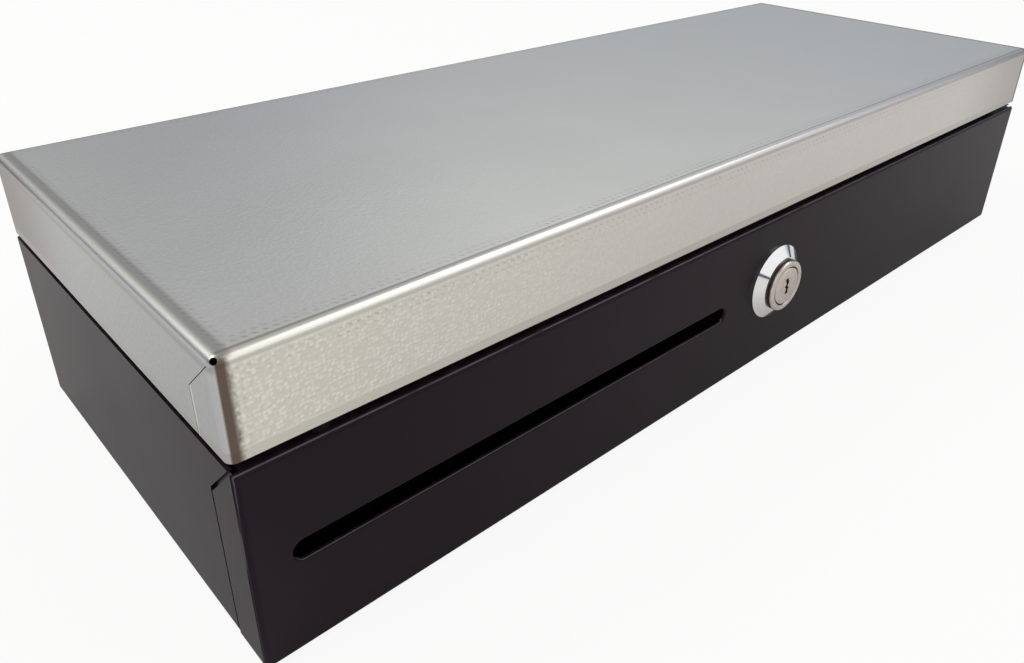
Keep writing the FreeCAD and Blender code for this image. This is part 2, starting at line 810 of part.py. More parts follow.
def cam_screw():
    """Screw head that holds the cam on the tail, with a cross recess."""
    end = cam_back + cam_screw_head
    head = rod_y(cam_screw_radius, 0, lock_z, cam_back, end)
    head = head.makeFillet(cam_screw_head / 2, edges_where(head, lambda p: near(p.y, at(end))))
    arm = cam_screw_radius / 2
    w = tail_half / 6
    deep = end - cam_screw_head / 2
    return head.cut([box(-arm, arm, at(deep), at(end + 1), lock_z - w, lock_z + w),
                     box(-w, w, at(deep), at(end + 1), lock_z - arm, lock_z + arm)])


# Latch

def latch_hook():
    """Latch plate with its beak, the stud for the cam, the spring's foot and the link arm."""
    hub = rod_y(latch_hub, latch_x, latch_z, latch_front, latch_back)
    beak = turned_y(latched_beak(), latch_x, latch_z, -latch_travel)
    link_arm = bar_y(latch_x, latch_z, latch_x, link_z, 2 * link_radius, latch_front, latch_back)
    link_arm = turned_y(link_arm, latch_x, latch_z, -latch_travel / 2)
    stud_arm = bar_y(latch_x, latch_z, stud_x, stud_z, 1.5 * stud_radius, latch_front, latch_back)
    stud = rod_y(stud_radius, stud_x, stud_z, latch_front, cam_back + 2 * touch)
    pad = box(stud_x - pad_length / 2, stud_x + pad_length / 2, at(latch_back - pad_depth), at(latch_back),
              pad_z, pad_z + latch_thick)
    hook = joined(hub, beak, link_arm, stud_arm, stud, pad)
    return hook.cut([rod_y(latch_pin + running, latch_x, latch_z, 0, plate_depth), link_pin_hole()])


def latched_beak():
    """Upper arm and beak, drawn in the latched place, with the underside round about the pivot."""
    ring = rod_y(beak_outer, latch_x, latch_z, latch_front, latch_back)
    ring = ring.cut(rod_y(beak_inner, latch_x, latch_z, latch_front - 1, latch_back + 1))
    ring = ring.common(box(latch_x - arm_half, latch_x + beak_tip, at(0), at(plate_depth), latch_z, height))
    low = latch_z + beak_inner - beak_height / 2
    slope = plate_y([(latch_x + beak_slope, latch_z + beak_outer + 1), (latch_x + beak_outer, height),
                     (latch_x + beak_outer, low - 1), (latch_x + beak_tip + 1, low - 1)], 0, plate_depth)
    arm = box(latch_x - arm_half, latch_x + arm_half, at(latch_front), at(latch_back), latch_z,
              latch_z + beak_inner + 1)
    return joined(ring.cut(slope), arm)


def link_place():
    """The link pin's x and z with the latch drawn back."""
    lean = math.radians(latch_travel / 2)
    return latch_x + link_drop * math.sin(lean), latch_z - link_drop * math.cos(lean)


def link_pin_hole():
    x, z = link_place()
    return rod_y(link_radius, x, z, 0, plate_depth)


def link_pin():
    """Pin through the latch's lower arm and the plunger's fork."""
    x, z = link_place()
    reach = plunger_radius + 2 * touch
    return rod_y(link_radius, x, z, latch_mid - reach, latch_mid + reach)


def latch_pivot():
    """Shouldered pin riveted into the bracket."""
    shoulder = latch_back + touch
    return joined(rod_y(latch_pin, latch_x, latch_z, latch_front - pin_reach, plate_depth + sheet),
                  rod_y(latch_hub - 1, latch_x, latch_z, shoulder, plate_depth))


def latch_clip():
    """Spring clip on the pivot in front of the latch, open at one side."""
    front = latch_front - touch - clip_thick
    disc = rod_y(latch_hub, latch_x, latch_z, front, front + clip_thick)
    mouth = box(latch_x - clip_mouth, latch_x + clip_mouth, at(0), at(plate_depth),
                latch_z - 2 * latch_hub, latch_z)
    return disc.cut([rod_y(latch_pin, latch_x, latch_z, 0, plate_depth), mouth])


def latch_bracket():
    """Folded bracket: a floor flange, an upright plate and a wing that keeps media out."""
    plate = box(plate_left, plate_right, at(plate_depth), at(plate_depth + sheet), inside_z, plate_top)
    wing = box(plate_left, plate_left + sheet, at(wing_front), at(plate_depth), inside_z, plate_top)
    sole = box(plate_left, plate_right, at(sole_front), at(plate_depth), inside_z, sole_z)
    holes = [rod_z(screw_radius + hole_gap, x, at(d), 0, sole_z + 1) for x, d in sole_studs()]
    holes += [rod_y(screw_radius + hole_gap, x, z, plate_depth - 1, plate_depth + sheet + 1)
              for x, z in solenoid_screw_places()]
    holes.append(rod_y(latch_pin, latch_x, latch_z, plate_depth - 1, plate_depth + sheet + 1))
    return joined(plate, wing, sole).cut(holes)


def bracket_nuts():
    """Hexagon nuts on the floor studs."""
    nuts = []
    for x, d in sole_studs():
        corners = [V(x + across, at(d) + along, sole_z) for across, along in hexagon(screw_head)]
        nut = Part.Face(Part.makePolygon(corners + corners[:1])).extrude(V(0, 0, screw_head_tall))
        nuts.append(nut.cut(rod_z(screw_radius + running, x, at(d), 0, height)))
    return Part.makeCompound(nuts)


# Solenoid

def solenoid_screw_places():
    quarter = solenoid_length / 4
    return [(solenoid_x + quarter, link_z), (solenoid_x + 3 * quarter, link_z)]


def solenoid_frame():
    """Open frame: a back plate on the bracket and two ends."""
    x1 = solenoid_x + solenoid_length
    z0 = link_z - frame_tall
    z1 = link_z + frame_tall
    d0 = latch_mid - frame_half
    back = box(solenoid_x, x1, at(plate_depth - frame_sheet), at(plate_depth), z0, z1)
    left = box(solenoid_x, solenoid_x + frame_sheet, at(d0), at(plate_depth), z0, z1)
    right = box(x1 - frame_sheet, x1, at(d0), at(plate_depth), z0, z1)
    holes = [rod_y(screw_radius + hole_gap, x, z, 0, plate_depth + 1) for x, z in solenoid_screw_places()]
    holes.append(rod_x(plunger_radius + 2 * running, at(latch_mid), link_z, solenoid_x - 1,
                       solenoid_x + frame_sheet + 1))
    return joined(back, left, right).cut(holes)


def solenoid_screws():
    """Screws through the bracket's plate into the frame."""
    screws = []
    for x, z in solenoid_screw_places():
        head = rod_y(screw_head, x, z, plate_depth + sheet, plate_depth + sheet + screw_head_tall)
        shank = rod_y(screw_radius, x, z, plate_depth - frame_sheet, plate_depth + sheet)
        screws.append(joined(head, shank))
    return Part.makeCompound(screws)


def solenoid_coil():
    """Wound bobbin between the frame's ends."""
    x0 = solenoid_x + frame_sheet
    x1 = solenoid_x + solenoid_length - frame_sheet
    y = at(latch_mid)
    winding = box(x0, x1, y - winding_deep, y + winding_deep, link_z - winding_tall, link_z + winding_tall)
    winding = winding.makeFillet(winding_corner, [e for e in winding.Edges if runs_along(e, V(1, 0, 0))])
    deep = frame_half - frame_sheet
    ends = [box(a, a + bobbin_end, y - deep, y + deep, link_z - bobbin_tall, link_z + bobbin_tall)
            for a in (x0, x1 - bobbin_end)]
    bore = rod_x(plunger_radius + 2 * running, y, link_z, x0 - 1, solenoid_x + plunger_in + 1)
    return joined(winding, *ends).cut(bore)


def solenoid_plunger():
    """Plunger with a fork for the latch's lower arm, drawn in."""
    x, z = link_place()
    y = at(latch_mid)
    plunger = rod_x(plunger_radius, y, link_z, x - fork_nose, solenoid_x + plunger_in)
    fork = box(x - fork_nose - 1, x + fork_reach, y - fork_slot / 2, y + fork_slot / 2,
               link_z - plunger_radius, link_z + plunger_radius)
    r = link_radius + running
    hole = bar_y(x, link_z - 2 * touch, x, link_z + 2 * touch, r, 0, plate_depth)
    return plunger.cut([fork, hole])


# Lid switch

def switch_top():
    """Upper face of the switch, so that its free button ends just below the striker."""
    return bridge_top() - striker_bridge - touch - button_height


def button_place():
    return striker_x + striker_thick / 2, at(plate_depth - switch_thick / 2)


def switch_body():
    """Switch case with a well for its button and three terminals."""
    y1 = at(plate_depth)
    top = switch_top()
    case = box(switch_x, switch_x + switch_length, y1 - switch_thick, y1, top - switch_tall, top)
    low = top - switch_tall
    pitch = switch_length / terminal_count
    terminals = []
    for k in range(terminal_count):
        x = switch_x + pitch * (k + 0.5)
        y = y1 - switch_thick / 2
        terminals.append(box(x - terminal_half, x + terminal_half, y - terminal_thick / 2,
                             y + terminal_thick / 2, low - terminal_length, low))
    x, y = button_place()
    well = rod_z(button_radius + 2 * running, x, y, top - button_stem - button_travel - touch, top + 1)
    return joined(case, *terminals).cut(well)


def switch_button():
    x, y = button_place()
    top = switch_top()
    button = rod_z(button_radius, x, y, top - button_stem, top + button_height)
    rim = edges_where(button, lambda p: near(p.z, top + button_height))
    return button.makeFillet(button_radius / 2, rim)


def switch_screws():
    """Two screw heads on the front of the switch."""
    d1 = plate_depth - switch_thick
    z = switch_top() - switch_tall / 2
    spots = [switch_x + switch_length / 3, switch_x + switch_length - screw_head - touch]
    return Part.makeCompound([rod_y(screw_head, x, z, d1 - screw_head_tall, d1) for x in spots])


# Cover over the mechanism

def channel_cover():
    """Long cover behind the front panel, on two legs, with a slot for the striker."""
    x = cover_half
    plate = box(-x, x, at(cover_front), at(cover_back), cover_under, cover_top)
    lip = box(-x, x, at(cover_back - steel), at(cover_back), cover_top - cover_lip, cover_top)
    leg = box(x - steel, x, at(cover_leg_front), at(cover_back), inside_z, cover_top)
    slot = box(striker_x - cover_slot, striker_x + striker_thick + cover_slot,
               at(latch_mid - striker_front - cover_slot), at(latch_mid + striker_back + touch),
               cover_under - 1, cover_top + 1)
    return joined(plate, lip, leg, mirrored(leg)).cut(slot)


# Socket for the control lead

def lead_socket():
    """Modular socket that faces the hole in the rear wall."""
    back = rear_in - touch
    body = box(socket_x - socket_half, socket_x + socket_half, back - socket_length, back,
               socket_base, socket_base + socket_tall)
    z1 = mouth_z + mouth_tall
    mouth = box(socket_x - mouth_half, socket_x + mouth_half, back - mouth_depth, back + 1, mouth_z, z1)
    key = box(socket_x - mouth_key_half, socket_x + mouth_key_half, back - mouth_depth, back + 1,
              mouth_z - mouth_key_tall / 2, z1)
    return body.cut([mouth, key])


def socket_board():
    """Board under the socket."""
    back = rear_in - touch
    z0 = socket_base - board_thick
    board = box(socket_x - board_half, socket_x + board_half, back - board_depth, back, z0, socket_base)
    return board.cut([rod_z(screw_radius + hole_gap, x, y, 0, height) for x, y in post_places()])


def post_places():
    y = rear_in - board_depth / 2
    return [(socket_x - post_x, y), (socket_x + post_x, y)]


def board_posts():
    """Threaded posts on the floor under the board."""
    top = socket_base - board_thick
    return Part.makeCompound([rod_z(post_radius, x, y, inside_z, top) for x, y in post_places()])


def board_screws():
    """Screws through the board into the posts."""
    return Part.makeCompound([joined(rod_z(screw_radius, x, y, socket_base - board_thick, socket_base),
                                     rod_z(screw_head, x, y, socket_base, socket_base + screw_head_tall))
                              for x, y in post_places()])


# Trays

def leg_spots():
    """Left faces of the ribs under the coin deck, clear of the media space behind the slot."""
    left = -tray_side
    media_right = slot_x + slot_length + leg_thick
    right = tray_side - leg_thick
    step = (right - media_right) / (deck_legs - 2)
    return [left] + [media_right + k * step for k in range(deck_legs - 1)]


def coin_tray():
    """Deck with a rim, on ribs that leave the space behind the media slot free."""
    x = tray_side
    block = upright_rounded(-x, x, at(coin_start), at(coin_end), deck_z, tray_top, well_corner)
    bay = upright_rounded(-x + plastic, x - plastic, at(coin_start + plastic), at(coin_end - plastic),
                          cup_z, height, well_corner - plastic)
    ribs = [box(x0, x0 + leg_thick, at(coin_start + plastic), at(coin_end - plastic), inside_z, cup_z)
            for x0 in leg_spots()]
    return joined(block.cut(bay), *ribs)


def note_well_size():
    wide = (2 * tray_side - plastic * (note_columns + 1)) / note_columns
    deep = (note_end - note_start - plastic * (note_rows + 1)) / note_rows
    return wide, deep


def note_tray():
    """Block of wells in which notes stand on their long edge."""
    x = tray_side
    block = upright_rounded(-x, x, at(note_start), at(note_end), note_floor, tray_top, well_corner)
    wide, deep = note_well_size()
    cuts = []
    for column in range(note_columns):
        x0 = -x + plastic + column * (wide + plastic)
        for row in range(note_rows):
            y0 = at(note_start + plastic + row * (deep + plastic))
            cuts.append(upright_rounded(x0, x0 + wide, y0, y0 + deep, note_floor + plastic, height,
                                        well_corner - plastic))
        centre = tray_top + scallop_radius - scallop_drop
        cuts.append(rod_y(scallop_radius, x0 + wide / 2, centre, note_start - 1, note_end + 1))
    ribs = []
    for k in range(note_columns + 1):
        x0 = -x + k * (wide + plastic)
        ribs.append(box(x0, x0 + plastic, at(note_start), at(note_end), inside_z, note_floor + plastic))
    ribs = [rib.common(box(-x, x, at(note_start + well_corner), at(note_end - well_corner), 0, height))
            for rib in ribs]
    return joined(block.cut(cuts), *ribs)


def cup_size():
    wide = (2 * (tray_side - plastic - cup_end_gap) - cup_gap * (coin_cups - 1)) / coin_cups
    deep = coin_end - coin_start - 2 * (plastic + cup_end_gap)
    return wide, deep


def coin_cup(k):
    """Removable cup with a scooped floor and a finger notch at the rear."""
    wide, deep = cup_size()
    x0 = -tray_side + plastic + cup_end_gap + k * (wide + cup_gap)
    y0 = at(coin_start + plastic + cup_end_gap)
    outer = scooped(x0, x0 + wide, y0, y0 + deep, cup_z, cup_z + cup_height, cup_scoop, cup_corner)
    w = cup_wall
    inner = scooped(x0 + w, x0 + wide - w, y0 + w, y0 + deep - w, cup_z + w, cup_z + cup_height + w,
                    cup_scoop - w, cup_corner - w)
    middle = x0 + wide / 2
    notch = rod(cup_notch, V(middle, y0 + deep / 2, cup_z + cup_height),
                V(middle, y0 + deep + w, cup_z + cup_height))
    return outer.cut([inner, notch])


def scooped(x0, x1, y0, y1, z0, z1, scoop, corner):
    """Block whose floor curves up into its front and rear, with rounded upright edges."""
    a = scoop * (1 - math.cos(math.pi / 4))
    edges = [Part.makeLine(V(x0, y0, z1), V(x0, y0, z0 + scoop)),
             Part.Arc(V(x0, y0, z0 + scoop), V(x0, y0 + a, z0 + a), V(x0, y0 + scoop, z0)).toShape(),
             Part.makeLine(V(x0, y0 + scoop, z0), V(x0, y1 - scoop, z0)),
             Part.Arc(V(x0, y1 - scoop, z0), V(x0, y1 - a, z0 + a), V(x0, y1, z0 + scoop)).toShape(),
             Part.makeLine(V(x0, y1, z0 + scoop), V(x0, y1, z1)),
             Part.makeLine(V(x0, y1, z1), V(x0, y0, z1))]
    block = Part.Face(Part.Wire(edges)).extrude(V(x1 - x0, 0, 0))
    sides = [e for e in block.Edges if not near(e.Vertexes[0].Point.z, z1)
             or not near(e.Vertexes[1].Point.z, z1)]
    sides = [e for e in sides if near(e.Vertexes[0].Point.x, e.Vertexes[1].Point.x)]
    return block.makeFillet(corner, sides)


def named_parts():
    """Every piece by its name."""
    parts = {
        "base_tub": tub(),
        "front_panel": front_panel(),
        "rubber_foot_front_left": rubber_foot(-1, -1),
        "rubber_foot_front_right": rubber_foot(1, -1),
        "rubber_foot_rear_left": rubber_foot(-1, 1),
        "rubber_foot_rear_right": rubber_foot(1, 1),
        "lid_shell": lid_shell(),
        "lid_stiffener": lid_stiffener(),
        "striker_plate": striker_plate(),
        "lid_bumpers": Part.makeCompound([lid_bumper(-1), lid_bumper(1)]),
        "lock_bezel": lock_bezel(),
        "lock_body": lock_body(),
        "lock_nut": lock_nut(),
        "lock_plug": lock_plug(),
        "lock_cam": lock_cam(),
        "cam_screw": cam_screw(),
        "latch_bracket": latch_bracket(),
        "bracket_nuts": bracket_nuts(),
        "latch_hook": latch_hook(),
        "link_pin": link_pin(),
        "latch_pivot": latch_pivot(),
        "latch_clip": latch_clip(),
        "latch_spring": latch_spring(),
        "solenoid_frame": solenoid_frame(),
        "solenoid_coil": solenoid_coil(),
        "solenoid_plunger": solenoid_plunger(),
        "solenoid_screws": solenoid_screws(),
        "lid_switch": switch_body(),
        "switch_button": switch_button(),
        "switch_screws": switch_screws(),
        "channel_cover": channel_cover(),
        "lead_socket": lead_socket(),
        "socket_board": socket_board(),
        "board_posts": board_posts(),
        "board_screws": board_screws(),
        "coin_tray": coin_tray(),
        "note_tray": note_tray(),
    }
    hinge = {"hinge_bracket": hinge_bracket(), "lid_bracket": lid_bracket(), "hinge_pin": hinge_pin(),
             "hinge_spring": hinge_spring()}
    for name, shape in hinge.items():
        parts[name + "_right"] = shape
        parts[name + "_left"] = mirrored(shape)
    for k in range(coin_cups):
        parts["coin_cup_" + str(k + 1)] = coin_cup(k)
    return parts


os.makedirs("parts", exist_ok=True)
for part_name, part_shape in named_parts().items():
    part_shape.exportStep("parts/" + part_name + ".step")
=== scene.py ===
import bpy
import json
import math
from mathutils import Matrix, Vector


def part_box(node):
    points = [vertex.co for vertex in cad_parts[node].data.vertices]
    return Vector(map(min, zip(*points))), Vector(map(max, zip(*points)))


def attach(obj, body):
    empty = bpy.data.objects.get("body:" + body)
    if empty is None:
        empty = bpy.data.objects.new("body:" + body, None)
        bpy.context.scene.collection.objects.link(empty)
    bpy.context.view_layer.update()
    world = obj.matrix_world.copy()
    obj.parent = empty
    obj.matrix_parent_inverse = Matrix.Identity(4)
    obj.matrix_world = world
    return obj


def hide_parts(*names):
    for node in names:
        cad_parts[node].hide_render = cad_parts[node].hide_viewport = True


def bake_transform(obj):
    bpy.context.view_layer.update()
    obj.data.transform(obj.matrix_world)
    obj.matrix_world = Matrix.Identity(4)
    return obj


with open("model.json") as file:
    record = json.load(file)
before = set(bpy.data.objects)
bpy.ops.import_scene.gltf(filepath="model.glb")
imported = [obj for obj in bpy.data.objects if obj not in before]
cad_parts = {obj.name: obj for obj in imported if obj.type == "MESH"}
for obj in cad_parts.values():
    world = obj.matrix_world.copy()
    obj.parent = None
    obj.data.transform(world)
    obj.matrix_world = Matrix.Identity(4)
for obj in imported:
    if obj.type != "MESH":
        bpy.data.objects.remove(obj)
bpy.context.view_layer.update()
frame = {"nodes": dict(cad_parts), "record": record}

bl_info = {
    "name": "Flip top cash drawer",
    "version": (1, 0, 0),
    "blender": (4, 5, 0),
    "location": "3D View > Sidebar > Drawer",
    "description": "Finishes and fine pieces of a flip top cash drawer around its packed frame",
    "category": "Object",
}

MM = 0.001
TO_MM = 1000.0
SLOTS = {row["node"]: row["material_slot"] for row in frame["record"]["subparts"]}


# Nodes and materials

class Field:
    """A value or colour that changes over a surface. Arithmetic on it adds Math nodes."""

    def __init__(self, tree, socket=None):
        self.tree = tree
        self.socket = socket

    def node(self, kind, settings=None, inputs=None, output=0):
        """Adds a node. Its settings come first, then the values or links of its sockets."""
        made = self.tree.nodes.new(kind)
        for name, value in (settings or {}).items():
            setattr(made, name, value)
        for name, value in (inputs or {}).items():
            if isinstance(value, Field):
                self.tree.links.new(value.socket, made.inputs[name])
            else:
                made.inputs[name].default_value = value
        return Field(self.tree, made.outputs[output])

    def maths(self, operation, *values):
        """A Math node on some values."""
        return self.node("ShaderNodeMath", {"operation": operation}, dict(enumerate(values)))

    def __add__(self, other):
        return self.maths("ADD", self, other)

    def __radd__(self, other):
        return self.maths("ADD", other, self)

    def __sub__(self, other):
        return self.maths("SUBTRACT", self, other)

    def __rsub__(self, other):
        return self.maths("SUBTRACT", other, self)

    def __mul__(self, other):
        return self.maths("MULTIPLY", self, other)

    def __rmul__(self, other):
        return self.maths("MULTIPLY", other, self)

    def least(self, other):
        """The smaller of two values."""
        return self.maths("MINIMUM", self, other)

    def most(self, other):
        """The larger of two values."""
        return self.maths("MAXIMUM", self, other)

    def absolute(self):
        return self.maths("ABSOLUTE", self)

    def root(self):
        return self.maths("SQRT", self)

    def wave(self):
        """The sine of this, between -1 and 1."""
        return self.maths("SINE", self)

    def rise(self, low, high):
        """0 below low, 1 above high, and a smooth step between."""
        return self.node("ShaderNodeMapRange", {"interpolation_type": "SMOOTHSTEP"},
                         {"Value": self, "From Min": low, "From Max": high})

    def blend(self, low, high):
        """The colour low where this is 0, and high where it is 1."""
        return self.node("ShaderNodeMix", {"data_type": "RGBA"},
                         {0: self, 6: as_colour(low), 7: as_colour(high)}, output=2)

    def parts(self):
        """The x, y and z of a place or a direction."""
        split = self.node("ShaderNodeSeparateXYZ", None, {0: self})
        outs = split.socket.node.outputs
        return [Field(self.tree, out) for out in outs]

    def noise(self, grain, detail=2.0, roughness=0.5):
        """Cloudy noise whose lumps are about grain millimetres apart, on a place in millimetres."""
        return self.node("ShaderNodeTexNoise", None,
                         {"Vector": self, "Scale": 1 / grain, "Detail": detail, "Roughness": roughness})

    def stretched(self, x, y, z):
        """A place with its axes scaled, so that a pattern on it runs lengthways."""
        return self.node("ShaderNodeMapping", None, {"Vector": self, "Scale": (x, y, z)})

    def pebbles(self, grain, randomness):
        """Rounded cells about grain millimetres apart: 1 at their middles, falling to 0 between them."""
        cells = self.node("ShaderNodeTexVoronoi", {"feature": "SMOOTH_F1"},
                          {"Vector": self, "Scale": 1 / grain, "Randomness": randomness, "Smoothness": 0.35})
        return 1 - cells.rise(0.12, 0.72)


def as_colour(value):
    """Gives a plain colour its alpha, and passes a field on."""
    return value if isinstance(value, Field) else (*value, 1.0)


class Finish:
    """A material, its shader, and the place on the object in millimetres."""

    def __init__(self, name, sockets=None):
        self.material = bpy.data.materials.new(name)
        self.material.use_nodes = True
        self.shader = self.material.node_tree.nodes["Principled BSDF"]
        for label, value in (sockets or {}).items():
            self.shader.inputs[label].default_value = value
        start = Field(self.material.node_tree)
        coords = start.node("ShaderNodeTexCoord", output=3)
        self.place = coords.node("ShaderNodeVectorMath", {"operation": "SCALE"}, {0: coords, "Scale": TO_MM})

    def feed(self, label, field):
        """Links a field to one of the shader's sockets."""
        self.material.node_tree.links.new(field.socket, self.shader.inputs[label])

    def facing(self):
        """The surface's own direction, as x, y and z."""
        return self.place.node("ShaderNodeNewGeometry", output=1).parts()

    def relief(self, height):
        """Bumps whose height is a field in millimetres."""
        self.feed("Normal", height.node("ShaderNodeBump", None,
                                        {"Strength": 1.0, "Distance": MM, "Height": height}))


def paint(material, *objects):
    """Makes a material the only one of some objects."""
    for obj in objects:
        obj.data.materials.clear()
        obj.data.materials.append(material)


# Finishes

def band(distance, low, high, soft=0.4):
    """1 where a distance lies between two values, with soft edges."""
    return distance.rise(low - soft, low + soft) * (1 - distance.rise(high - soft, high + soft))


def powder_coat(style):
    """Black semi-gloss powder coat with a fine orange peel, and a painted highlight on the folds that face
    partly up.
    """
    coat = Finish("powder_coat", {"IOR": 1.5, "Specular IOR Level": 0.1})
    place = coat.place
    cloud = place.noise(60.0, 3.0)
    peel = place.noise(style.peel)
    grit = place.noise(0.35, 1.0)
    up = coat.facing()[2]
    # Painted highlight: a paler band where the surface faces partly up, as on the panel's top fold.
    fold_highlight = band(up, 0.64, 0.82, 0.05) * place.noise(9.0, 3.0).rise(0.2, 0.55)
    dust = up.rise(0.6, 1.0) * place.noise(3.0, 4.0).rise(0.45, 0.8)
    base = cloud.rise(0.3, 0.7).blend(style.shade, [c * 1.3 for c in style.shade])
    dusty = (dust * 0.25).blend(base, (0.05, 0.048, 0.046))
    coat.feed("Base Color", (fold_highlight * 0.6).blend(dusty, (0.15, 0.135, 0.15)))
    coat.feed("Roughness", style.gloss + cloud * 0.08 + dust * 0.12)
    coat.relief(peel * 0.012 + grit * 0.0035)
    return coat.material


# Painted reflections: the front rim's colour from left to right, and the end rims' colour from front to rear.
FRONT_RIM_REFLECTION_LEFT = (0.86, 0.865, 0.78)
FRONT_RIM_REFLECTION_MIDDLE = (0.70, 0.67, 0.65)
FRONT_RIM_REFLECTION_RIGHT = (0.49, 0.475, 0.465)
END_RIM_REFLECTION_FRONT = (0.485, 0.50, 0.52)
END_RIM_REFLECTION_REAR = (0.27, 0.245, 0.235)
# Painted shade in the hollows between the pebbles.
PEBBLE_HOLLOW_SHADE = (0.3, 0.28, 0.25)
# Painted highlight along the front tab's edge.
TAB_EDGE_HIGHLIGHT = (0.92, 0.9, 0.86)
BEAD = (0.2, 0.18, 0.155)
# Painted shade on the hem, and painted dark reflections beside the folds and at the front rim's ends.
HEM_SHADE = (0.36, 0.33, 0.29)
FOLD_SHADE = (0.27, 0.25, 0.22)
FOLD_SHADE_LINE = (0.30, 0.27, 0.24)
CORNER_DARK_REFLECTION = (0.11, 0.075, 0.062)


def lid_distances(x, y, z, low, high):
    """Distances in millimetres inside the lid's outer faces: from its ends, its front and rear, and its top."""
    ends = (high.x - low.x) / 2 - (x - (high.x + low.x) / 2).absolute()
    front = (high.y - low.y) / 2 - (y - (high.y + low.y) / 2).absolute()
    return ends, front, high.z - z


def embossed_steel(style):
    """Satin stainless sheet with a pebbled emboss that the folds have pressed flat."""
    steel = Finish("embossed_steel", {"Metallic": 1.0})
    place = steel.place
    low, high = [v * TO_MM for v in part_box("lid_shell")]
    x, y, z = place.parts()
    ends, front, down = lid_distances(x, y, z, low, high)
    above_edge = z - low.z
    on_top = 1 - down.rise(0.4, 1.6)
    on_front = 1 - front.rise(0.4, 1.6)
    on_end = 1 - ends.rise(0.4, 1.6)

    # The emboss, which fades along the front rim and stops at the folds and the hem.
    fold = ends.least(front).most(ends.most(front).least(down))
    pressed = fold.rise(2.4, 3.8) * above_edge.rise(2.6, 3.6).most(on_top)
    cells = place.pebbles(style.grain, 0.6)
    depth = pressed * (1 - on_top * 0.75) * (1 - on_end * 0.5)
    strong = 1 - x.rise(-225.0, -60.0) * 0.65

    # The sheet's tone on the top; on the front rim, the steel's colour with a painted reflection that is
    # lighter at the left and darker at the right; on the end rims, a painted reflection that darkens towards
    # the rear.
    cloud = place.noise(45.0, 3.0)
    tone = cloud.rise(0.3, 0.7).blend(style.shade, [c * 0.96 for c in style.shade])
    front_rim_reflection = x.rise(-250.0, -40.0).blend(FRONT_RIM_REFLECTION_LEFT, FRONT_RIM_REFLECTION_MIDDLE)
    front_rim_reflection = x.rise(140.0, 232.0).blend(front_rim_reflection, FRONT_RIM_REFLECTION_RIGHT)
    # Painted reflection on the end rims, darker towards the rear.
    end_rim_reflection = y.rise(10.0, 88.0).blend(END_RIM_REFLECTION_FRONT, END_RIM_REFLECTION_REAR)
    tone = on_end.blend(on_front.blend(tone, front_rim_reflection), end_rim_reflection)
    # Painted shade in the hollows between the pebbles, strongest towards the lid's left end.
    tone = ((1 - cells) * depth * strong * 0.3).blend(tone, PEBBLE_HOLLOW_SHADE)

    # Rows of beads are marks of folding. The rest is painted light and shade: a highlight on the front tab's
    # edge, shade on the rounded hem, and dark reflections beside the folds.
    # Painted highlight along the front tab's edge on the end rims.
    tab_edge_highlight = on_end * band(front, 15.0, 15.8, 0.25) * down.rise(13.5, 14.5) * (1 - y.rise(-40.0, 0.0))
    tone = (tab_edge_highlight * 0.7).blend(tone, TAB_EDGE_HIGHLIGHT)
    smear = place.noise(9.0, 4.0).rise(0.3, 0.75)
    beads = ((x + y + z) * (2 * math.pi / 2.6)).wave().rise(-0.2, 0.7) * (0.35 + smear * 0.65)
    rows = band(fold, 4.0, 4.7).most(band(fold, 6.0, 6.6) * 0.7) * (on_top + on_front * 0.7)
    tone = (beads * rows * 0.5).blend(tone, BEAD)
    # Painted shade on the rounded hem along the lid's bottom edge.
    hem = (1 - above_edge.rise(2.6, 3.4)) * (1 - on_top)
    tone = (hem * 0.45).blend(tone, HEM_SHADE)
    # Painted dark reflections beside the folds at the lid's ends, on the top and on the end rims.
    shade = (on_top * band(ends, 2.0, 5.0, 1.1) * 0.55).most(on_end * band(down, 2.2, 4.2, 0.9) * 0.5)
    tone = shade.blend(tone, FOLD_SHADE)
    # Painted dark reflections in narrow strips beside the front fold, on the top and on the front rim.
    line = (on_top * band(front, 1.9, 2.7) * 0.75).most(on_front * band(down, 2.0, 2.9, 0.5) * 0.5)
    tone = line.blend(tone, FOLD_SHADE_LINE)
    # Painted dark reflection with a ragged edge on the front rim beside the folds at both ends.
    ragged = (place.noise(1.6, 2.0) - 0.5) * 2.2
    corner = ends + ragged * ends.rise(2.6, 4.2)
    corner_reflection = on_front * corner.rise(0.6, 1.3) * (1 - corner.rise(2.6, 5.0)) * 0.96
    steel.feed("Base Color", corner_reflection.blend(tone, CORNER_DARK_REFLECTION))

    steel.feed("Roughness", style.gloss + cloud * 0.05 - (1 - pressed) * 0.06)
    fine = place.noise(0.28, 1.0)
    steel.relief(cells * depth * strong * style.emboss + fine * pressed * 0.0005)
    return steel.material


def plated_steel(style):
    """Zinc plated sheet steel: cloudy grey with faint drawn lines."""
    zinc = Finish("plated_steel", {"Metallic": 1.0})
    place = zinc.place
    cloud = place.noise(7.0, 4.0)
    drawn = place.stretched(0.06, 1.0, 1.0).noise(0.5, 2.0)
    zinc.feed("Base Color", cloud.rise(0.3, 0.7).blend(style.zinc, [c * 0.82 for c in style.zinc]))
    zinc.feed("Roughness", 0.3 + cloud * 0.14 + drawn * 0.08)
    zinc.relief(drawn * 0.004 + place.noise(0.8) * 0.003)
    return zinc.material


def pin_steel(style):
    """Bright turned steel with tool marks round the pins."""
    pin = Finish("pin_steel", {"Metallic": 1.0})
    place = pin.place
    marks = place.stretched(1.0, 0.1, 0.1).noise(0.35, 2.0)
    cloud = place.noise(4.0, 3.0)
    pin.feed("Base Color", cloud.rise(0.3, 0.7).blend((0.5, 0.5, 0.5), (0.6, 0.6, 0.61)))
    pin.feed("Roughness", 0.22 + marks * 0.16)
    pin.relief(marks * 0.004)
    return pin.material


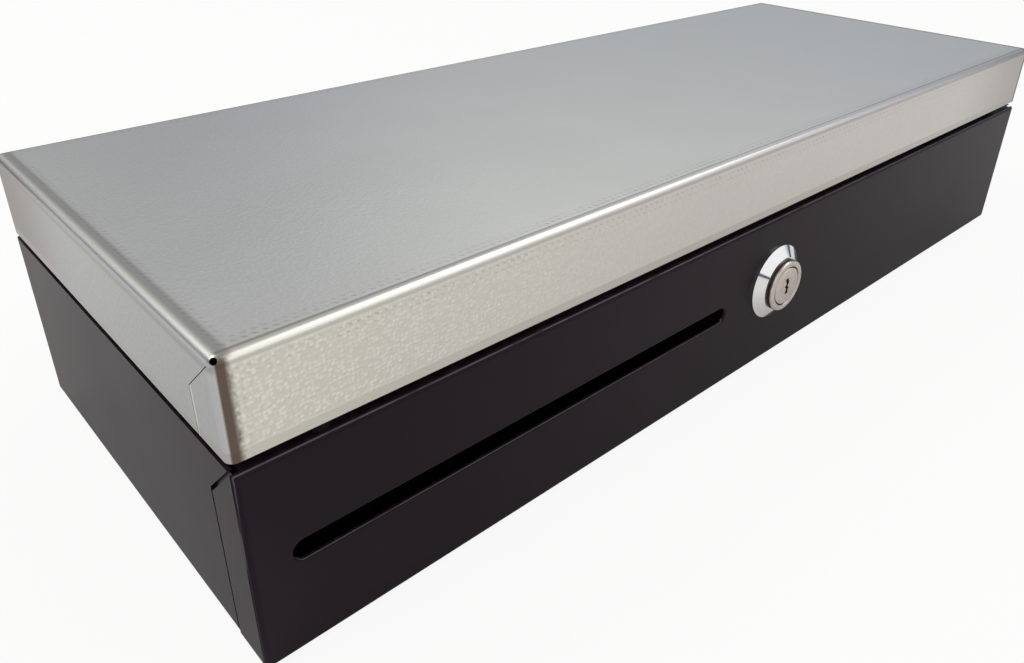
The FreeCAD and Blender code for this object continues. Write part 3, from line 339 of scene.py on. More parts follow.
def spring_wire(style):
    """Drawn spring wire, slightly oiled."""
    wire = Finish("spring_wire", {"Metallic": 1.0})
    place = wire.place
    cloud = place.noise(2.5, 3.0)
    wire.feed("Base Color", cloud.rise(0.35, 0.7).blend(style.wire, [c * 0.7 for c in style.wire]))
    wire.feed("Roughness", 0.28 + cloud * 0.14)
    wire.relief(place.noise(0.3) * 0.004)
    return wire.material


def bright_chrome(style):
    """Polished chrome with a trace of wiping marks."""
    chrome = Finish("bright_chrome", {"Metallic": 1.0})
    place = chrome.place
    wiped = place.stretched(1.0, 1.0, 0.15).noise(0.7, 3.0)
    cloud = place.noise(5.0, 3.0)
    chrome.feed("Base Color", cloud.rise(0.3, 0.8).blend(style.chrome, [c * 0.94 for c in style.chrome]))
    chrome.feed("Roughness", 0.07 + wiped.rise(0.5, 0.8) * 0.06)
    chrome.relief(place.noise(6.0) * 0.006)
    return chrome.material


def satin_nickel(style):
    """Satin nickel, turned in rings round the lock's axis, with painted shade where it is set back behind the
    front face.
    """
    nickel = Finish("satin_nickel", {"Metallic": 1.0})
    place = nickel.place
    low, high = [v * TO_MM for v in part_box("lock_body")]
    x, y, z = place.parts()
    x = x - (low.x + high.x) / 2
    z = z - (low.z + high.z) / 2
    radius = (x * x + z * z).root()
    rings = radius.node("ShaderNodeTexNoise", {"noise_dimensions": "1D"},
                        {"W": radius, "Scale": 4.5, "Detail": 3.0})
    cloud = place.noise(2.5, 3.0)
    shade = cloud.rise(0.3, 0.75).blend(style.nickel, [c * 0.86 for c in style.nickel])
    # Painted shade on everything set back more than about a millimetre behind the lock's front face.
    recess_shade = (y - low.y).rise(0.9, 1.4)
    nickel.feed("Base Color", (recess_shade * 0.85).blend(shade, (0.1, 0.09, 0.075)))
    nickel.feed("Roughness", 0.2 + rings * 0.18)
    nickel.relief(rings * 0.008)
    return nickel.material


def coil_tape(style):
    """Amber tape over a copper winding, whose turns show as fine ridges."""
    tape = Finish("coil_tape", {"IOR": 1.5})
    place = tape.place
    ridges = (place.parts()[0] * (2 * math.pi / 0.5)).wave()
    cloud = place.noise(6.0, 2.0)
    tape.feed("Base Color", cloud.rise(0.3, 0.7).blend(style.tape, [c * 0.7 for c in style.tape]))
    tape.feed("Roughness", 0.22 + cloud * 0.12)
    tape.relief(ridges * 0.012)
    return tape.material


def moulded(name, shade, gloss, dust=0.25):
    """Moulded plastic with a fine eroded grain and a little dust on what faces up."""
    plastic = Finish(name, {"IOR": 1.48})
    place = plastic.place
    texture = place.noise(0.6, 3.0, 0.6)
    cloud = place.noise(30.0, 3.0)
    settled = plastic.facing()[2].rise(0.5, 1.0) * place.noise(2.2, 5.0).rise(0.5, 0.85)
    base = cloud.rise(0.3, 0.7).blend(shade, [c * 0.85 for c in shade])
    plastic.feed("Base Color", (settled * dust).blend(base, (0.22, 0.21, 0.2)))
    plastic.feed("Roughness", gloss + cloud * 0.08 + settled * 0.15)
    plastic.relief(texture * 0.02)
    return plastic.material


def circuit_board(style):
    """Green solder resist over tracks, which show as paler raised lines."""
    board = Finish("circuit_board", {"IOR": 1.5})
    place = board.place
    x, y = place.parts()[:2]
    ways = (x * 2.0).wave().rise(0.86, 0.95).most((y * 1.6).wave().rise(0.9, 0.97))
    tracks = ways * place.noise(4.0, 0.0).rise(0.42, 0.5)
    board.feed("Base Color", tracks.blend(style.board, [c * 1.9 for c in style.board]))
    board.feed("Roughness", 0.25 + place.noise(3.0) * 0.1)
    board.relief(tracks * 0.03)
    return board.material


def rubber(style):
    """Matt black rubber with a dusty bloom."""
    foot = Finish("rubber", {"IOR": 1.5, "Specular IOR Level": 0.06})
    place = foot.place
    bloom = place.noise(2.0, 5.0).rise(0.45, 0.8)
    foot.feed("Base Color", (bloom * 0.3).blend((0.006, 0.006, 0.006), (0.03, 0.029, 0.028)))
    foot.feed("Roughness", 0.72 + bloom * 0.16)
    foot.relief(place.noise(0.5, 3.0) * 0.02)
    return foot.material


def finish(slot):
    """The material of one of the record's slots, made the first time that it is asked for."""
    styles = bpy.context.scene.drawer_finishes
    maker = {
        "black_coat": lambda: powder_coat(bpy.context.scene.drawer_coat),
        "lid_steel": lambda: embossed_steel(bpy.context.scene.drawer_lid),
        "plated_steel": lambda: plated_steel(styles),
        "pin_steel": lambda: pin_steel(styles),
        "spring_steel": lambda: spring_wire(styles),
        "chrome_ring": lambda: bright_chrome(styles),
        "nickel": lambda: satin_nickel(styles),
        "coil_tape": lambda: coil_tape(styles),
        "black_plastic": lambda: moulded("black_plastic", (0.02, 0.02, 0.021), 0.4, dust=0.1),
        "button_plastic": lambda: moulded("button_plastic", (0.62, 0.6, 0.55), 0.35, dust=0.1),
        "board_green": lambda: circuit_board(styles),
        "tray_plastic": lambda: moulded("tray_plastic", styles.tray, 0.46),
        "cup_plastic": lambda: moulded("cup_plastic", styles.cup, 0.42),
        "rubber": lambda: rubber(styles),
    }
    if slot not in finished:
        finished[slot] = maker[slot]()
    return finished[slot]


finished = {}


def dress(*names):
    """Gives CAD nodes the finish of their own slot."""
    for name in names:
        paint(finish(SLOTS[name]), frame["nodes"][name])


# Modelling

def start_clean():
    """Leaves edit mode and deselects everything, as the operators act on all that is selected."""
    if bpy.context.object and bpy.context.object.mode != "OBJECT":
        bpy.ops.object.mode_set(mode="OBJECT")
    bpy.ops.object.select_all(action="DESELECT")


def settle(obj, name, slot, body, *stands_for):
    """Names a finished piece, applies its place to its mesh, paints it and gives it to its body."""
    start_clean()
    obj.select_set(True)
    bpy.context.view_layer.objects.active = obj
    bpy.ops.object.transform_apply(location=True, rotation=True, scale=True)
    obj.name = name
    obj.data.name = name
    paint(finish(slot), obj)
    if body:
        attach(obj, body)
    if stands_for:
        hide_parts(*stands_for)
    return obj


def edit(obj):
    """Opens one object alone in edit mode with nothing selected."""
    start_clean()
    obj.select_set(True)
    bpy.context.view_layer.objects.active = obj
    bpy.ops.object.mode_set(mode="EDIT")
    bpy.ops.mesh.select_all(action="DESELECT")


def choose(obj, kind, wanted):
    """Selects the faces or edges of the open mesh that a test on them wants, and nothing else."""
    bpy.ops.mesh.select_mode(type=kind)
    bpy.ops.mesh.select_all(action="DESELECT")
    bpy.ops.object.mode_set(mode="OBJECT")
    mesh = obj.data
    if kind == "FACE":
        for face in mesh.polygons:
            face.select = wanted(face.center, face.normal)
    else:
        for edge in mesh.edges:
            edge.select = wanted(*[mesh.vertices[v].co for v in edge.vertices])
    bpy.ops.object.mode_set(mode="EDIT")


def close_edit(obj, angle=35):
    """Merges doubles, turns faces outwards and shades a mesh smooth up to an angle."""
    bpy.ops.mesh.select_all(action="SELECT")
    bpy.ops.mesh.remove_doubles(threshold=1e-6)
    bpy.ops.mesh.normals_make_consistent(inside=False)
    bpy.ops.object.mode_set(mode="OBJECT")
    bpy.ops.object.shade_smooth_by_angle(angle=math.radians(angle))
    return obj


def use_modifier(obj, kind, **settings):
    """Adds a modifier, sets it and applies it."""
    start_clean()
    obj.select_set(True)
    bpy.context.view_layer.objects.active = obj
    made = obj.modifiers.new(kind.lower(), kind)
    for name, value in settings.items():
        setattr(made, name, value)
    bpy.ops.object.modifier_apply(modifier=made.name)


def join(first, *others):
    """Makes one object of several."""
    start_clean()
    for obj in (first, *others):
        obj.select_set(True)
    bpy.context.view_layer.objects.active = first
    bpy.ops.object.join()
    return first


def merged_copy(node):
    """A copy of a CAD node's mesh, joined up and with its flat places made whole."""
    obj = bpy.data.objects.new(node + "_copy", frame["nodes"][node].data.copy())
    bpy.context.scene.collection.objects.link(obj)
    edit(obj)
    bpy.ops.mesh.select_all(action="SELECT")
    bpy.ops.mesh.remove_doubles(threshold=1e-6)
    bpy.ops.mesh.dissolve_limited(angle_limit=math.radians(0.5))
    return obj


TURNED_SIDES = 72


def turned(first, place, radius, steps):
    """A turned solid about an axis along Y: a disc whose rear face is inset and drawn out in steps."""
    start_clean()
    bpy.ops.mesh.primitive_cylinder_add(vertices=TURNED_SIDES, radius=radius * MM, depth=first * MM,
                                        location=place, rotation=(math.pi / 2, 0, 0))
    obj = bpy.context.object
    bpy.ops.object.transform_apply(location=True, rotation=True, scale=True)
    edit(obj)
    choose(obj, "FACE", lambda middle, normal: normal.y > 0.9)
    for kind, amount in steps:
        if kind == "inset":
            bpy.ops.mesh.inset(thickness=amount * MM, depth=0)
        else:
            bpy.ops.mesh.extrude_region_move(TRANSFORM_OT_translate={"value": (0, amount * MM, 0)})
    return obj


def on_circle(place, radius, y, slack=0.03):
    """A test for edges that lie on a circle about an axis along Y, in millimetres."""
    def test(*ends):
        return all(abs(co.y * TO_MM - y) < slack and
                   abs(math.hypot(co.x - place[0], co.z - place[2]) * TO_MM - radius) < slack for co in ends)
    return test


def wire_mesh(name, points, radius, sides=3):
    """A round wire along a smooth path of points, with closed ends."""
    start_clean()
    bpy.ops.curve.primitive_nurbs_path_add(location=(0, 0, 0))
    obj = bpy.context.object
    obj.data.splines.clear()
    spline = obj.data.splines.new("NURBS")
    spline.points.add(len(points) - 1)
    for point, place in zip(spline.points, points):
        point.co = (*place, 1.0)
    spline.order_u = 3
    spline.use_endpoint_u = True
    spline.resolution_u = 2
    obj.data.dimensions = "3D"
    obj.data.bevel_depth = radius
    obj.data.bevel_resolution = sides
    obj.data.use_fill_caps = True
    bpy.ops.object.convert(target="MESH")
    obj = bpy.context.object
    obj.name = name
    bpy.ops.object.mode_set(mode="EDIT")
    return close_edit(obj, 50)


# Sizes and colours

def colour_of(name, description, value):
    """A colour that the sidebar shows."""
    return bpy.props.FloatVectorProperty(name=name, description=description, default=value,
                                         subtype="COLOR", size=3, min=0.0, max=1.0)


class DrawerCoat(bpy.types.PropertyGroup):
    """Powder coat of the box"""
    shade: colour_of("Coat", "Colour of the powder coat", (0.0095, 0.0058, 0.0095))
    gloss: bpy.props.FloatProperty(name="Roughness", description="Roughness of the coat's smoothest places",
                                   default=0.30, min=0.0, max=1.0)
    peel: bpy.props.FloatProperty(name="Orange peel", description="Spacing of the orange peel in millimetres",
                                  default=1.7, min=0.2, max=10.0)


class DrawerLid(bpy.types.PropertyGroup):
    """Stainless sheet of the lid"""
    shade: colour_of("Steel", "Colour of the stainless steel", (0.79, 0.78, 0.755))
    gloss: bpy.props.FloatProperty(name="Roughness", description="Roughness of the steel's smoothest places",
                                   default=0.33, min=0.0, max=1.0)
    grain: bpy.props.FloatProperty(name="Grain", description="Spacing of the embossed pebbles in millimetres",
                                   default=1.25, min=0.2, max=10.0)
    emboss: bpy.props.FloatProperty(name="Emboss", description="Height of the pebbles in millimetres",
                                    default=0.12, min=0.0, max=1.0)


class DrawerFinishes(bpy.types.PropertyGroup):
    """Colours of the metal, plastic and board pieces"""
    zinc: colour_of("Zinc", "Colour of the plated brackets", (0.56, 0.57, 0.58))
    wire: colour_of("Spring wire", "Colour of the springs", (0.36, 0.35, 0.34))
    chrome: colour_of("Chrome", "Colour of the lock's coned ring", (0.86, 0.865, 0.875))
    nickel: colour_of("Nickel", "Colour of the lock's head", (0.68, 0.61, 0.56))
    tape: colour_of("Coil tape", "Colour of the tape over the coil", (0.6, 0.33, 0.05))
    board: colour_of("Board", "Colour of the circuit board", (0.015, 0.11, 0.04))
    tray: colour_of("Trays", "Colour of the coin and note trays", (0.03, 0.03, 0.032))
    cup: colour_of("Cups", "Colour of the coin cups", (0.045, 0.045, 0.047))


class DrawerSprings(bpy.types.PropertyGroup):
    """Wire and turns of the springs"""
    hinge_wire: bpy.props.FloatProperty(name="Hinge spring wire", description="Diameter of the wire",
                                        default=1.3 * MM, unit="LENGTH", precision=4)
    hinge_turns: bpy.props.IntProperty(name="Hinge spring turns", description="Turns round the hinge pin",
                                       default=5, min=2, max=12)
    latch_wire: bpy.props.FloatProperty(name="Latch spring wire", description="Diameter of the wire",
                                        default=0.8 * MM, unit="LENGTH", precision=4)
    latch_turns: bpy.props.IntProperty(name="Latch spring turns", description="Turns of the coil spring",
                                       default=6, min=2, max=12)


class DrawerStudio(bpy.types.PropertyGroup):
    """Floor and lamps round the drawer"""
    floor: colour_of("Floor", "Colour of the table", (0.86, 0.845, 0.82))
    front_lamp: bpy.props.FloatProperty(name="Front lamp",
                                        description="Power of the soft lamp at the front right",
                                        default=7.0, min=0.0, unit="POWER")
    rear_lamp: bpy.props.FloatProperty(name="Rear lamp", description="Power of the soft lamp at the rear left",
                                       default=15.0, min=0.0, unit="POWER")


# Front panel, in millimetres

SLOT_SIDES = (-222.0, -29.0)
SLOT_HEIGHTS = (30.0, 41.0)
SLOT_ROUND = 0.8


def coat_front_panel():
    """Front panel with a rounded rim round the media slot."""
    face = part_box("front_panel")[0].y + 0.02 * MM
    panel = merged_copy("front_panel")

    def at_rim(*ends):
        return all(co.y < face and SLOT_SIDES[0] < co.x * TO_MM < SLOT_SIDES[1]
                   and SLOT_HEIGHTS[0] < co.z * TO_MM < SLOT_HEIGHTS[1] for co in ends)

    choose(panel, "EDGE", at_rim)
    bpy.ops.mesh.bevel(offset=SLOT_ROUND * MM, segments=4, affect="EDGES", loop_slide=False)
    choose(panel, "EDGE", at_rim)
    bpy.ops.mesh.mark_sharp()
    close_edit(panel)
    use_modifier(panel, "WEIGHTED_NORMAL", weight=100, keep_sharp=True)
    settle(panel, "coated_panel", "black_coat", "base", "front_panel")


# Lock, in millimetres

HEAD_RADIUS = 10.9
HEAD_THICK = 2.5
HEAD_ROUND = 0.95
BARREL_RADIUS = 9.5
BARREL_BORE = 5.55
SEAT_RADIUS = 8.35
SEAT_DEPTH = 2.55
SEAT_ROUND = 0.3
PLUG_RADIUS = 7.95
PLUG_LIP = 2.4
PLUG_CORE = 5.5
PLUG_ROUND = 0.35
KEYWAY = (1.8, 34.0, 7.2)
KEYWAY_STEPS = ((-2.4, -0.25), (-1.2, 0.5), (0.0, -0.55), (1.2, 0.55), (2.4, 0.15))
KEYWAY_TILT = 8.0
TAIL_WIDTH = 5.9
TAIL_LENGTH = 2.15
TAIL_ROUND = 0.3


def turn_lock_barrel(axis, front, rear):
    """Barrel with a round-edged head that stands clear of the plug by a narrow groove."""
    length = (rear - front) * TO_MM
    barrel = turned(HEAD_THICK, (axis[0], front + HEAD_THICK * MM / 2, axis[2]), HEAD_RADIUS,
                    [("inset", HEAD_RADIUS - BARREL_RADIUS), ("out", length - HEAD_THICK),
                     ("inset", BARREL_RADIUS - BARREL_BORE)])
    bpy.ops.mesh.delete(type="FACE")
    choose(barrel, "FACE", lambda middle, normal: middle.y < front + 0.01 * MM)
    bpy.ops.mesh.inset(thickness=(HEAD_RADIUS - SEAT_RADIUS) * MM, depth=0)
    bpy.ops.mesh.extrude_region_move(TRANSFORM_OT_translate={"value": (0, SEAT_DEPTH * MM, 0)})
    bpy.ops.mesh.inset(thickness=(SEAT_RADIUS - BARREL_BORE) * MM, depth=0)
    bpy.ops.mesh.delete(type="FACE")
    at_seat = on_circle(axis, BARREL_BORE, front * TO_MM + SEAT_DEPTH)
    at_rear = on_circle(axis, BARREL_BORE, rear * TO_MM)
    choose(barrel, "EDGE", lambda *ends: at_seat(*ends) or at_rear(*ends))
    bpy.ops.mesh.bridge_edge_loops()
    choose(barrel, "EDGE", on_circle(axis, HEAD_RADIUS, front * TO_MM))
    bpy.ops.mesh.bevel(offset=HEAD_ROUND * MM, segments=5, affect="EDGES")
    choose(barrel, "EDGE", on_circle(axis, SEAT_RADIUS, front * TO_MM))
    bpy.ops.mesh.bevel(offset=SEAT_ROUND * MM, segments=3, affect="EDGES")
    close_edit(barrel)
    settle(barrel, "turned_barrel", "nickel", "base", "lock_body")


def block(place, size):
    """A block about a place in metres, its size in millimetres."""
    start_clean()
    bpy.ops.mesh.primitive_cube_add(size=MM, location=place)
    obj = bpy.context.object
    obj.scale = size
    bpy.ops.object.transform_apply(location=True, rotation=True, scale=True)
    edit(obj)
    return obj


def zigzag_keyway(axis, front):
    """The key's way into the plug: a thin block with its sides stepped to and fro, and tilted."""
    cutter = block((axis[0], front, axis[2]), KEYWAY)
    choose(cutter, "EDGE", lambda a, b: abs(a.z - b.z) > 5 * MM)
    bpy.ops.mesh.subdivide(number_cuts=len(KEYWAY_STEPS))
    for level, step in KEYWAY_STEPS:
        height = axis[2] + level * MM
        choose(cutter, "EDGE", lambda a, b: abs(a.z - height) < 0.1 * MM and abs(b.z - height) < 0.1 * MM)
        bpy.ops.transform.translate(value=(step * MM, 0, 0))
    bpy.ops.mesh.select_all(action="SELECT")
    bpy.ops.transform.rotate(value=math.radians(KEYWAY_TILT), orient_axis="Y",
                             center_override=(axis[0], front, axis[2]))
    return close_edit(cutter)


def turn_lock_plug(axis, front, rear):
    """Plug with a rounded face, its zigzag keyway, and a square tail for the cam."""
    length = (rear - front) * TO_MM
    plug = turned(PLUG_LIP, (axis[0], front + PLUG_LIP * MM / 2, axis[2]), PLUG_RADIUS,
                  [("inset", PLUG_RADIUS - PLUG_CORE), ("out", length - PLUG_LIP - TAIL_LENGTH)])
    choose(plug, "EDGE", on_circle(axis, PLUG_RADIUS, front * TO_MM))
    bpy.ops.mesh.bevel(offset=PLUG_ROUND * MM, segments=3, affect="EDGES")
    close_edit(plug)
    cutter = zigzag_keyway(axis, front)
    use_modifier(plug, "BOOLEAN", operation="DIFFERENCE", solver="EXACT", object=cutter)
    bpy.data.objects.remove(cutter)
    tail = block((axis[0], rear - TAIL_LENGTH * MM / 2, axis[2]), (TAIL_WIDTH, TAIL_LENGTH, TAIL_WIDTH))
    choose(tail, "EDGE", lambda a, b: abs(a.y - b.y) > MM)
    bpy.ops.mesh.bevel(offset=TAIL_ROUND * MM, segments=2, affect="EDGES")
    close_edit(tail)
    plug = join(plug, tail)
    edit(plug)
    close_edit(plug)
    settle(plug, "keyed_plug", "nickel", "key", "lock_plug")


# Springs: their axes, radii and seats

HINGE_AXIS = (81.1 * MM, 82.0 * MM)
HINGE_COIL = 3.5 * MM
HINGE_PITCH = 1.73 * MM
HINGE_LUGS = (208.3 * MM, 221.2 * MM)
HINGE_TIP = 96.7 * MM
HINGE_LEG = 22.0 * MM
HINGE_LEG_ANGLE = 28.0
LATCH_STUD = (17.0 * MM, -61.4 * MM)
LATCH_COIL = 2.6 * MM
LATCH_LOW = 6.05 * MM
LATCH_TALL = 21.95 * MM
STEPS = 16


def helix_points(turns, place):
    """Points round a coil, moved out a little, as a smooth curve runs inside its control points."""
    count = round(turns * STEPS)
    swell = 1 / math.cos(math.pi / STEPS) ** 2
    return [place(turns * step / count, swell) for step in range(count + 1)]


def wind_hinge_spring(springs, side, mirror):
    """Torsion spring round a hinge pin, with a leg on the bracket and a leg under the lid."""
    turns = springs.hinge_turns + HINGE_LEG_ANGLE / 360
    axis_y, axis_z = HINGE_AXIS

    def place(n, swell=1.0):
        a = 2 * math.pi * n
        return Vector((HINGE_PITCH * n, axis_y + swell * HINGE_COIL * math.cos(a),
                       axis_z + swell * HINGE_COIL * math.sin(a)))

    def heading(n):
        a = 2 * math.pi * n
        reach = 2 * math.pi * HINGE_COIL
        return Vector((HINGE_PITCH, -reach * math.sin(a), reach * math.cos(a))).normalized()

    top = place(turns)
    leave = heading(turns)
    tip = top + leave * ((HINGE_TIP - top.z) / leave.z)
    foot = place(0) - heading(0) * HINGE_LEG
    coil = helix_points(turns, place)[1:-1]
    bend = 0.12 * HINGE_COIL
    path = [foot, foot.lerp(place(0), 0.5), place(0) - heading(0) * bend, *coil, top + leave * bend,
            top.lerp(tip, 0.5), tip]
    shift = (sum(HINGE_LUGS) - turns * HINGE_PITCH - (tip.x - top.x) / 2) / 2
    path = [Vector((mirror * (point.x + shift), point.y, point.z)) for point in path]
    spring = wire_mesh("wound_hinge_spring_" + side, path, springs.hinge_wire / 2)
    settle(spring, spring.name, "spring_steel", None, "hinge_spring_" + side)
    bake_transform(spring)


def wind_latch_spring(springs):
    """Compression spring under the latch's foot, with its last turns closed up."""
    def place(n, swell=1.0):
        a = 2 * math.pi * n
        u = n / springs.latch_turns
        rise = LATCH_TALL * (u - 0.35 * math.sin(2 * math.pi * u) / (2 * math.pi))
        return Vector((LATCH_STUD[0] + swell * LATCH_COIL * math.cos(a),
                       LATCH_STUD[1] + swell * LATCH_COIL * math.sin(a), LATCH_LOW + rise))

    spring = wire_mesh("wound_latch_spring", helix_points(springs.latch_turns, place), springs.latch_wire / 2)
    settle(spring, spring.name, "spring_steel", None, "latch_spring")
    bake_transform(spring)


# Operators, one for each group of pieces

class DRAWER_OT_box(bpy.types.Operator):
    """Black steel box: tub, front panel and the cover over the mechanism"""
    bl_idname = "drawer.box"
    bl_label = "Steel box"

    def execute(self, context):
        dress("base_tub", "channel_cover")
        coat_front_panel()
        return {"FINISHED"}


class DRAWER_OT_feet(bpy.types.Operator):
    """Four rubber feet and the two pads under the lid"""
    bl_idname = "drawer.feet"
    bl_label = "Rubber feet and pads"

    def execute(self, context):
        dress("lid_bumpers", *[name for name in SLOTS if name.startswith("rubber_foot")])
        return {"FINISHED"}


class DRAWER_OT_lid(bpy.types.Operator):
    """Embossed stainless lid with its stiffener and striker"""
    bl_idname = "drawer.lid"
    bl_label = "Lid"

    def execute(self, context):
        dress("lid_shell", "lid_stiffener", "striker_plate")
        return {"FINISHED"}


class DRAWER_OT_hinges(bpy.types.Operator):
    """Hinge brackets and pins, and the torsion springs round the pins"""
    bl_idname = "drawer.hinges"
    bl_label = "Hinges"

    def execute(self, context):
        springs = context.scene.drawer_springs
        for side, mirror in (("left", -1), ("right", 1)):
            dress("hinge_bracket_" + side, "lid_bracket_" + side, "hinge_pin_" + side)
            wind_hinge_spring(springs, side, mirror)
        return {"FINISHED"}


class DRAWER_OT_lock(bpy.types.Operator):
    """Cam lock with its chrome ring, plug, nut and cam"""
    bl_idname = "drawer.lock"
    bl_label = "Lock"

    def execute(self, context):
        dress("lock_bezel", "lock_nut", "lock_cam", "cam_screw")
        low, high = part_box("lock_body")
        axis = ((low.x + high.x) / 2, 0, (low.z + high.z) / 2)
        turn_lock_barrel(axis, low.y, high.y)
        turn_lock_plug(axis, low.y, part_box("lock_plug")[1].y)
        return {"FINISHED"}


class DRAWER_OT_latch(bpy.types.Operator):
    """Latch on its bracket, with its pivot, clip, link pin and coil spring"""
    bl_idname = "drawer.latch"
    bl_label = "Latch"

    def execute(self, context):
        dress("latch_bracket", "bracket_nuts", "latch_hook", "latch_pivot", "latch_clip", "link_pin")
        wind_latch_spring(context.scene.drawer_springs)
        return {"FINISHED"}


class DRAWER_OT_solenoid(bpy.types.Operator):
    """Pull solenoid, with its frame, winding, plunger and screws"""
    bl_idname = "drawer.solenoid"
    bl_label = "Solenoid"

    def execute(self, context):
        dress("solenoid_frame", "solenoid_coil", "solenoid_plunger", "solenoid_screws")
        return {"FINISHED"}


class DRAWER_OT_switch(bpy.types.Operator):
    """Lid switch with its button and screws"""
    bl_idname = "drawer.switch"
    bl_label = "Lid switch"

    def execute(self, context):
        dress("lid_switch", "switch_button", "switch_screws")
        return {"FINISHED"}


class DRAWER_OT_socket(bpy.types.Operator):
    """Socket for the control lead, on its board and posts"""
    bl_idname = "drawer.socket"
    bl_label = "Control socket"

    def execute(self, context):
        dress("lead_socket", "socket_board", "board_posts", "board_screws")
        return {"FINISHED"}


class DRAWER_OT_trays(bpy.types.Operator):
    """Coin tray with its cups, and the tray for upright notes"""
    bl_idname = "drawer.trays"
    bl_label = "Trays and cups"

    def execute(self, context):
        dress("coin_tray", "note_tray", *[name for name in SLOTS if name.startswith("coin_cup")])
        return {"FINISHED"}


class DRAWER_OT_stage(bpy.types.Operator):
    """Pale floor, soft lamps, white surroundings and the camera"""
    bl_idname = "drawer.stage"
    bl_label = "Stage"

    def execute(self, context):
        studio = context.scene.drawer_studio
        start_clean()
        bpy.ops.mesh.primitive_plane_add(size=12.0, location=(0, 0, 0))
        floor = context.object
        floor.name = "studio_floor"
        paint(floor_paint(studio), floor)
        add_lamp("front_lamp", (1.1, -0.9, 1.5), 1.2, studio.front_lamp)
        add_lamp("rear_lamp", (-1.2, 0.7, 1.4), 1.4, studio.rear_lamp)
        surroundings(context.scene)
        add_camera(context.scene)
        context.scene.view_settings.view_transform = "Standard"
        return {"FINISHED"}


WALL_LEFT = (0.60, 0.60, 0.575)
WALL_RIGHT = (0.28, 0.32, 0.40)
WALL_FOOT = (0.06, 0.10, 0.17)
LIT_WALL = (0.90, 0.92, 0.90)
LIT_WALL_WAY = (0.72, 0.50, 0.42)
DOORWAY = (0.80, 0.75, 0.71)
CEILING = (0.50, 0.49, 0.47)
SKIRTING = (0.10, 0.07, 0.055)
WHITE = (1.0, 1.0, 1.0)
FLOOR_GLOW = 0.9
FLOOR_GLOW_MIRRORED = 0.1
CAMERA_PLACE = (-0.28471, -0.23791, 0.20232)
CAMERA_TURN = (62.4035, -0.9417, -42.5983)
CAMERA_LENS = 30.0386
CAMERA_SHIFT = (-0.013434, -0.058944)


def seen_directly(start):
    """1 for rays from the camera and for mirror and glass rays."""
    rays = start.node("ShaderNodeLightPath")
    outs = rays.socket.node.outputs
    return [Field(start.tree, outs[name]) for name in
            ("Is Camera Ray", "Is Glossy Ray", "Is Transmission Ray")]


def floor_paint(studio):
    """Pale matt table that the camera sees near white, with the object's shadow kept."""
    table = Finish("studio_floor", {"Roughness": 0.9, "Specular IOR Level": 0.1})
    cloud = table.place.noise(400.0)
    table.feed("Base Color", cloud.blend(studio.floor, [c * 0.98 for c in studio.floor]))
    tree = table.material.node_tree
    start = Field(tree)
    camera, glossy, clear = seen_directly(start)
    glow = start.node("ShaderNodeEmission", None, {"Color": as_colour(WHITE), "Strength": 1.0})
    share = (camera * FLOOR_GLOW).most(clear * FLOOR_GLOW).most(glossy * FLOOR_GLOW_MIRRORED)
    matt = Field(tree, table.shader.outputs[0])
    mixed = start.node("ShaderNodeMixShader", None, {0: share, 1: matt, 2: glow})
    tree.links.new(mixed.socket, tree.nodes["Material Output"].inputs["Surface"])
    return table.material


def surroundings(scene):
    """White where the camera looks, and for light and reflections a room with a wide window in front."""
    world = bpy.data.worlds.new("studio")
    scene.world = world
    world.use_nodes = True
    tree = world.node_tree
    start = Field(tree)
    way = start.node("ShaderNodeTexCoord", output=0)
    x, y, z = way.parts()
    toward = way.node("ShaderNodeVectorMath", {"operation": "DOT_PRODUCT"}, {0: way, 1: LIT_WALL_WAY}, output=1)
    wall = x.rise(-0.2, 0.8).blend(WALL_LEFT, WALL_RIGHT)
    wall = z.rise(0.06, 0.38).blend(WALL_FOOT, wall)
    wall = (toward.rise(0.80, 0.97) * z.rise(0.24, 0.40)).blend(wall, LIT_WALL)
    doorway = (0 - x).rise(0.2, 0.36) * y.rise(0.6, 0.8) * band(z, 0.09, 0.33, 0.06)
    room = z.rise(0.5, 0.85).blend(doorway.blend(wall, DOORWAY), CEILING)
    ahead = (0 - y).rise(0.25, 0.6)
    window = ahead * z.rise(0.04, 0.08) * (1 - z.rise(0.62, 0.8))
    skirting = ahead * (1 - z.rise(0.02, 0.05))
    seen = window.blend(skirting.blend(room, SKIRTING), WHITE)
    camera, glossy, clear = seen_directly(start)
    white = camera.most(clear).most(glossy * window)
    background = tree.nodes["Background"]
    background.inputs["Strength"].default_value = 1.0
    tree.links.new(white.blend(seen, WHITE).socket, background.inputs["Color"])


def add_lamp(name, place, size, power):
    """Square soft lamp that faces the drawer."""
    start_clean()
    turn = (-Vector(place)).to_track_quat("-Z", "Y").to_euler()
    bpy.ops.object.light_add(type="AREA", location=place, rotation=turn)
    lamp = bpy.context.object
    lamp.name = name
    lamp.data.size = size
    lamp.data.energy = power


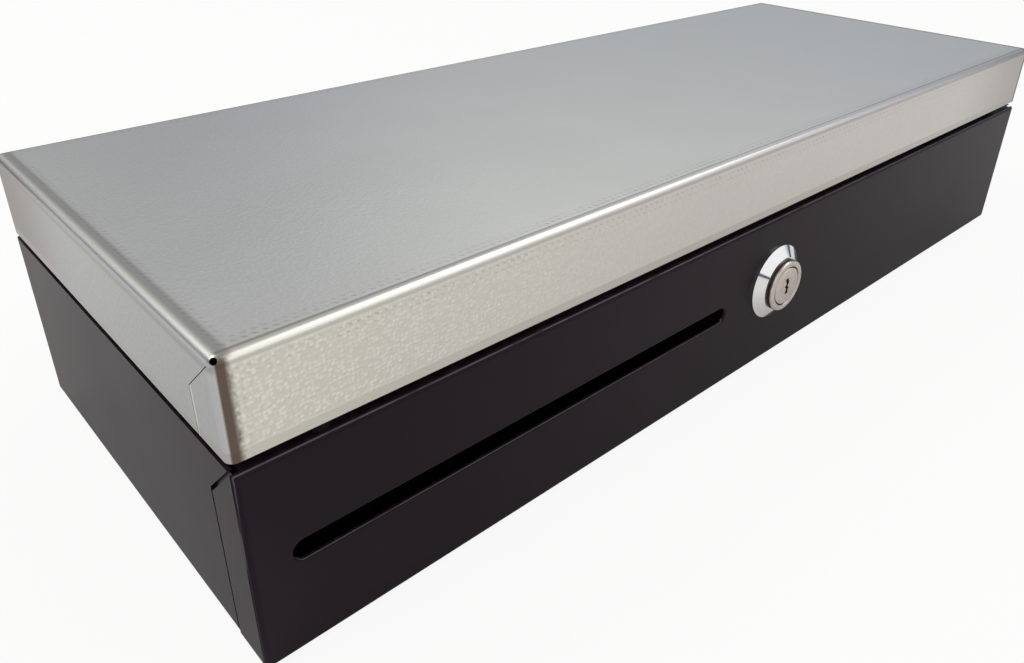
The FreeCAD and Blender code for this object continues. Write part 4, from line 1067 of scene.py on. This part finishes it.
def add_camera(scene):
    """Camera at the photograph's viewing angle."""
    start_clean()
    bpy.ops.object.camera_add(location=CAMERA_PLACE, rotation=[math.radians(angle) for angle in CAMERA_TURN])
    camera = bpy.context.object
    camera.data.lens = CAMERA_LENS
    camera.data.shift_x, camera.data.shift_y = CAMERA_SHIFT
    camera.data.clip_start = 0.01
    scene.camera = camera


class DRAWER_PT_panel(bpy.types.Panel):
    """Lists the drawer's pieces, sizes and colours"""
    bl_idname = "DRAWER_PT_panel"
    bl_label = "Cash drawer"
    bl_space_type = "VIEW_3D"
    bl_region_type = "UI"
    bl_category = "Drawer"

    def draw(self, context):
        for name, (label, group) in GROUPS.items():
            column = self.layout.column(heading=label)
            for key in group.__annotations__:
                column.prop(getattr(context.scene, name), key)
        for operator in OPERATORS:
            self.layout.operator(operator.bl_idname)


GROUPS = {
    "drawer_coat": ("Powder coat", DrawerCoat),
    "drawer_lid": ("Lid steel", DrawerLid),
    "drawer_finishes": ("Other finishes", DrawerFinishes),
    "drawer_springs": ("Springs", DrawerSprings),
    "drawer_studio": ("Studio", DrawerStudio),
}
OPERATORS = (DRAWER_OT_box, DRAWER_OT_feet, DRAWER_OT_lid, DRAWER_OT_hinges, DRAWER_OT_lock, DRAWER_OT_latch,
             DRAWER_OT_solenoid, DRAWER_OT_switch, DRAWER_OT_socket, DRAWER_OT_trays, DRAWER_OT_stage)


def register():
    """Registers the sidebar's sizes and colours, the operators and the panel."""
    for name, (_, group) in GROUPS.items():
        bpy.utils.register_class(group)
        setattr(bpy.types.Scene, name, bpy.props.PointerProperty(type=group))
    for made in (*OPERATORS, DRAWER_PT_panel):
        bpy.utils.register_class(made)


def unregister():
    """Undoes register."""
    for made in (DRAWER_PT_panel, *reversed(OPERATORS)):
        bpy.utils.unregister_class(made)
    for name, (_, group) in GROUPS.items():
        delattr(bpy.types.Scene, name)
        bpy.utils.unregister_class(group)


def main():
    """Builds the whole scene."""
    register()
    for operator in OPERATORS:
        getattr(bpy.ops.drawer, operator.bl_idname.split(".")[1])()


if __name__ == "__main__":
    main()
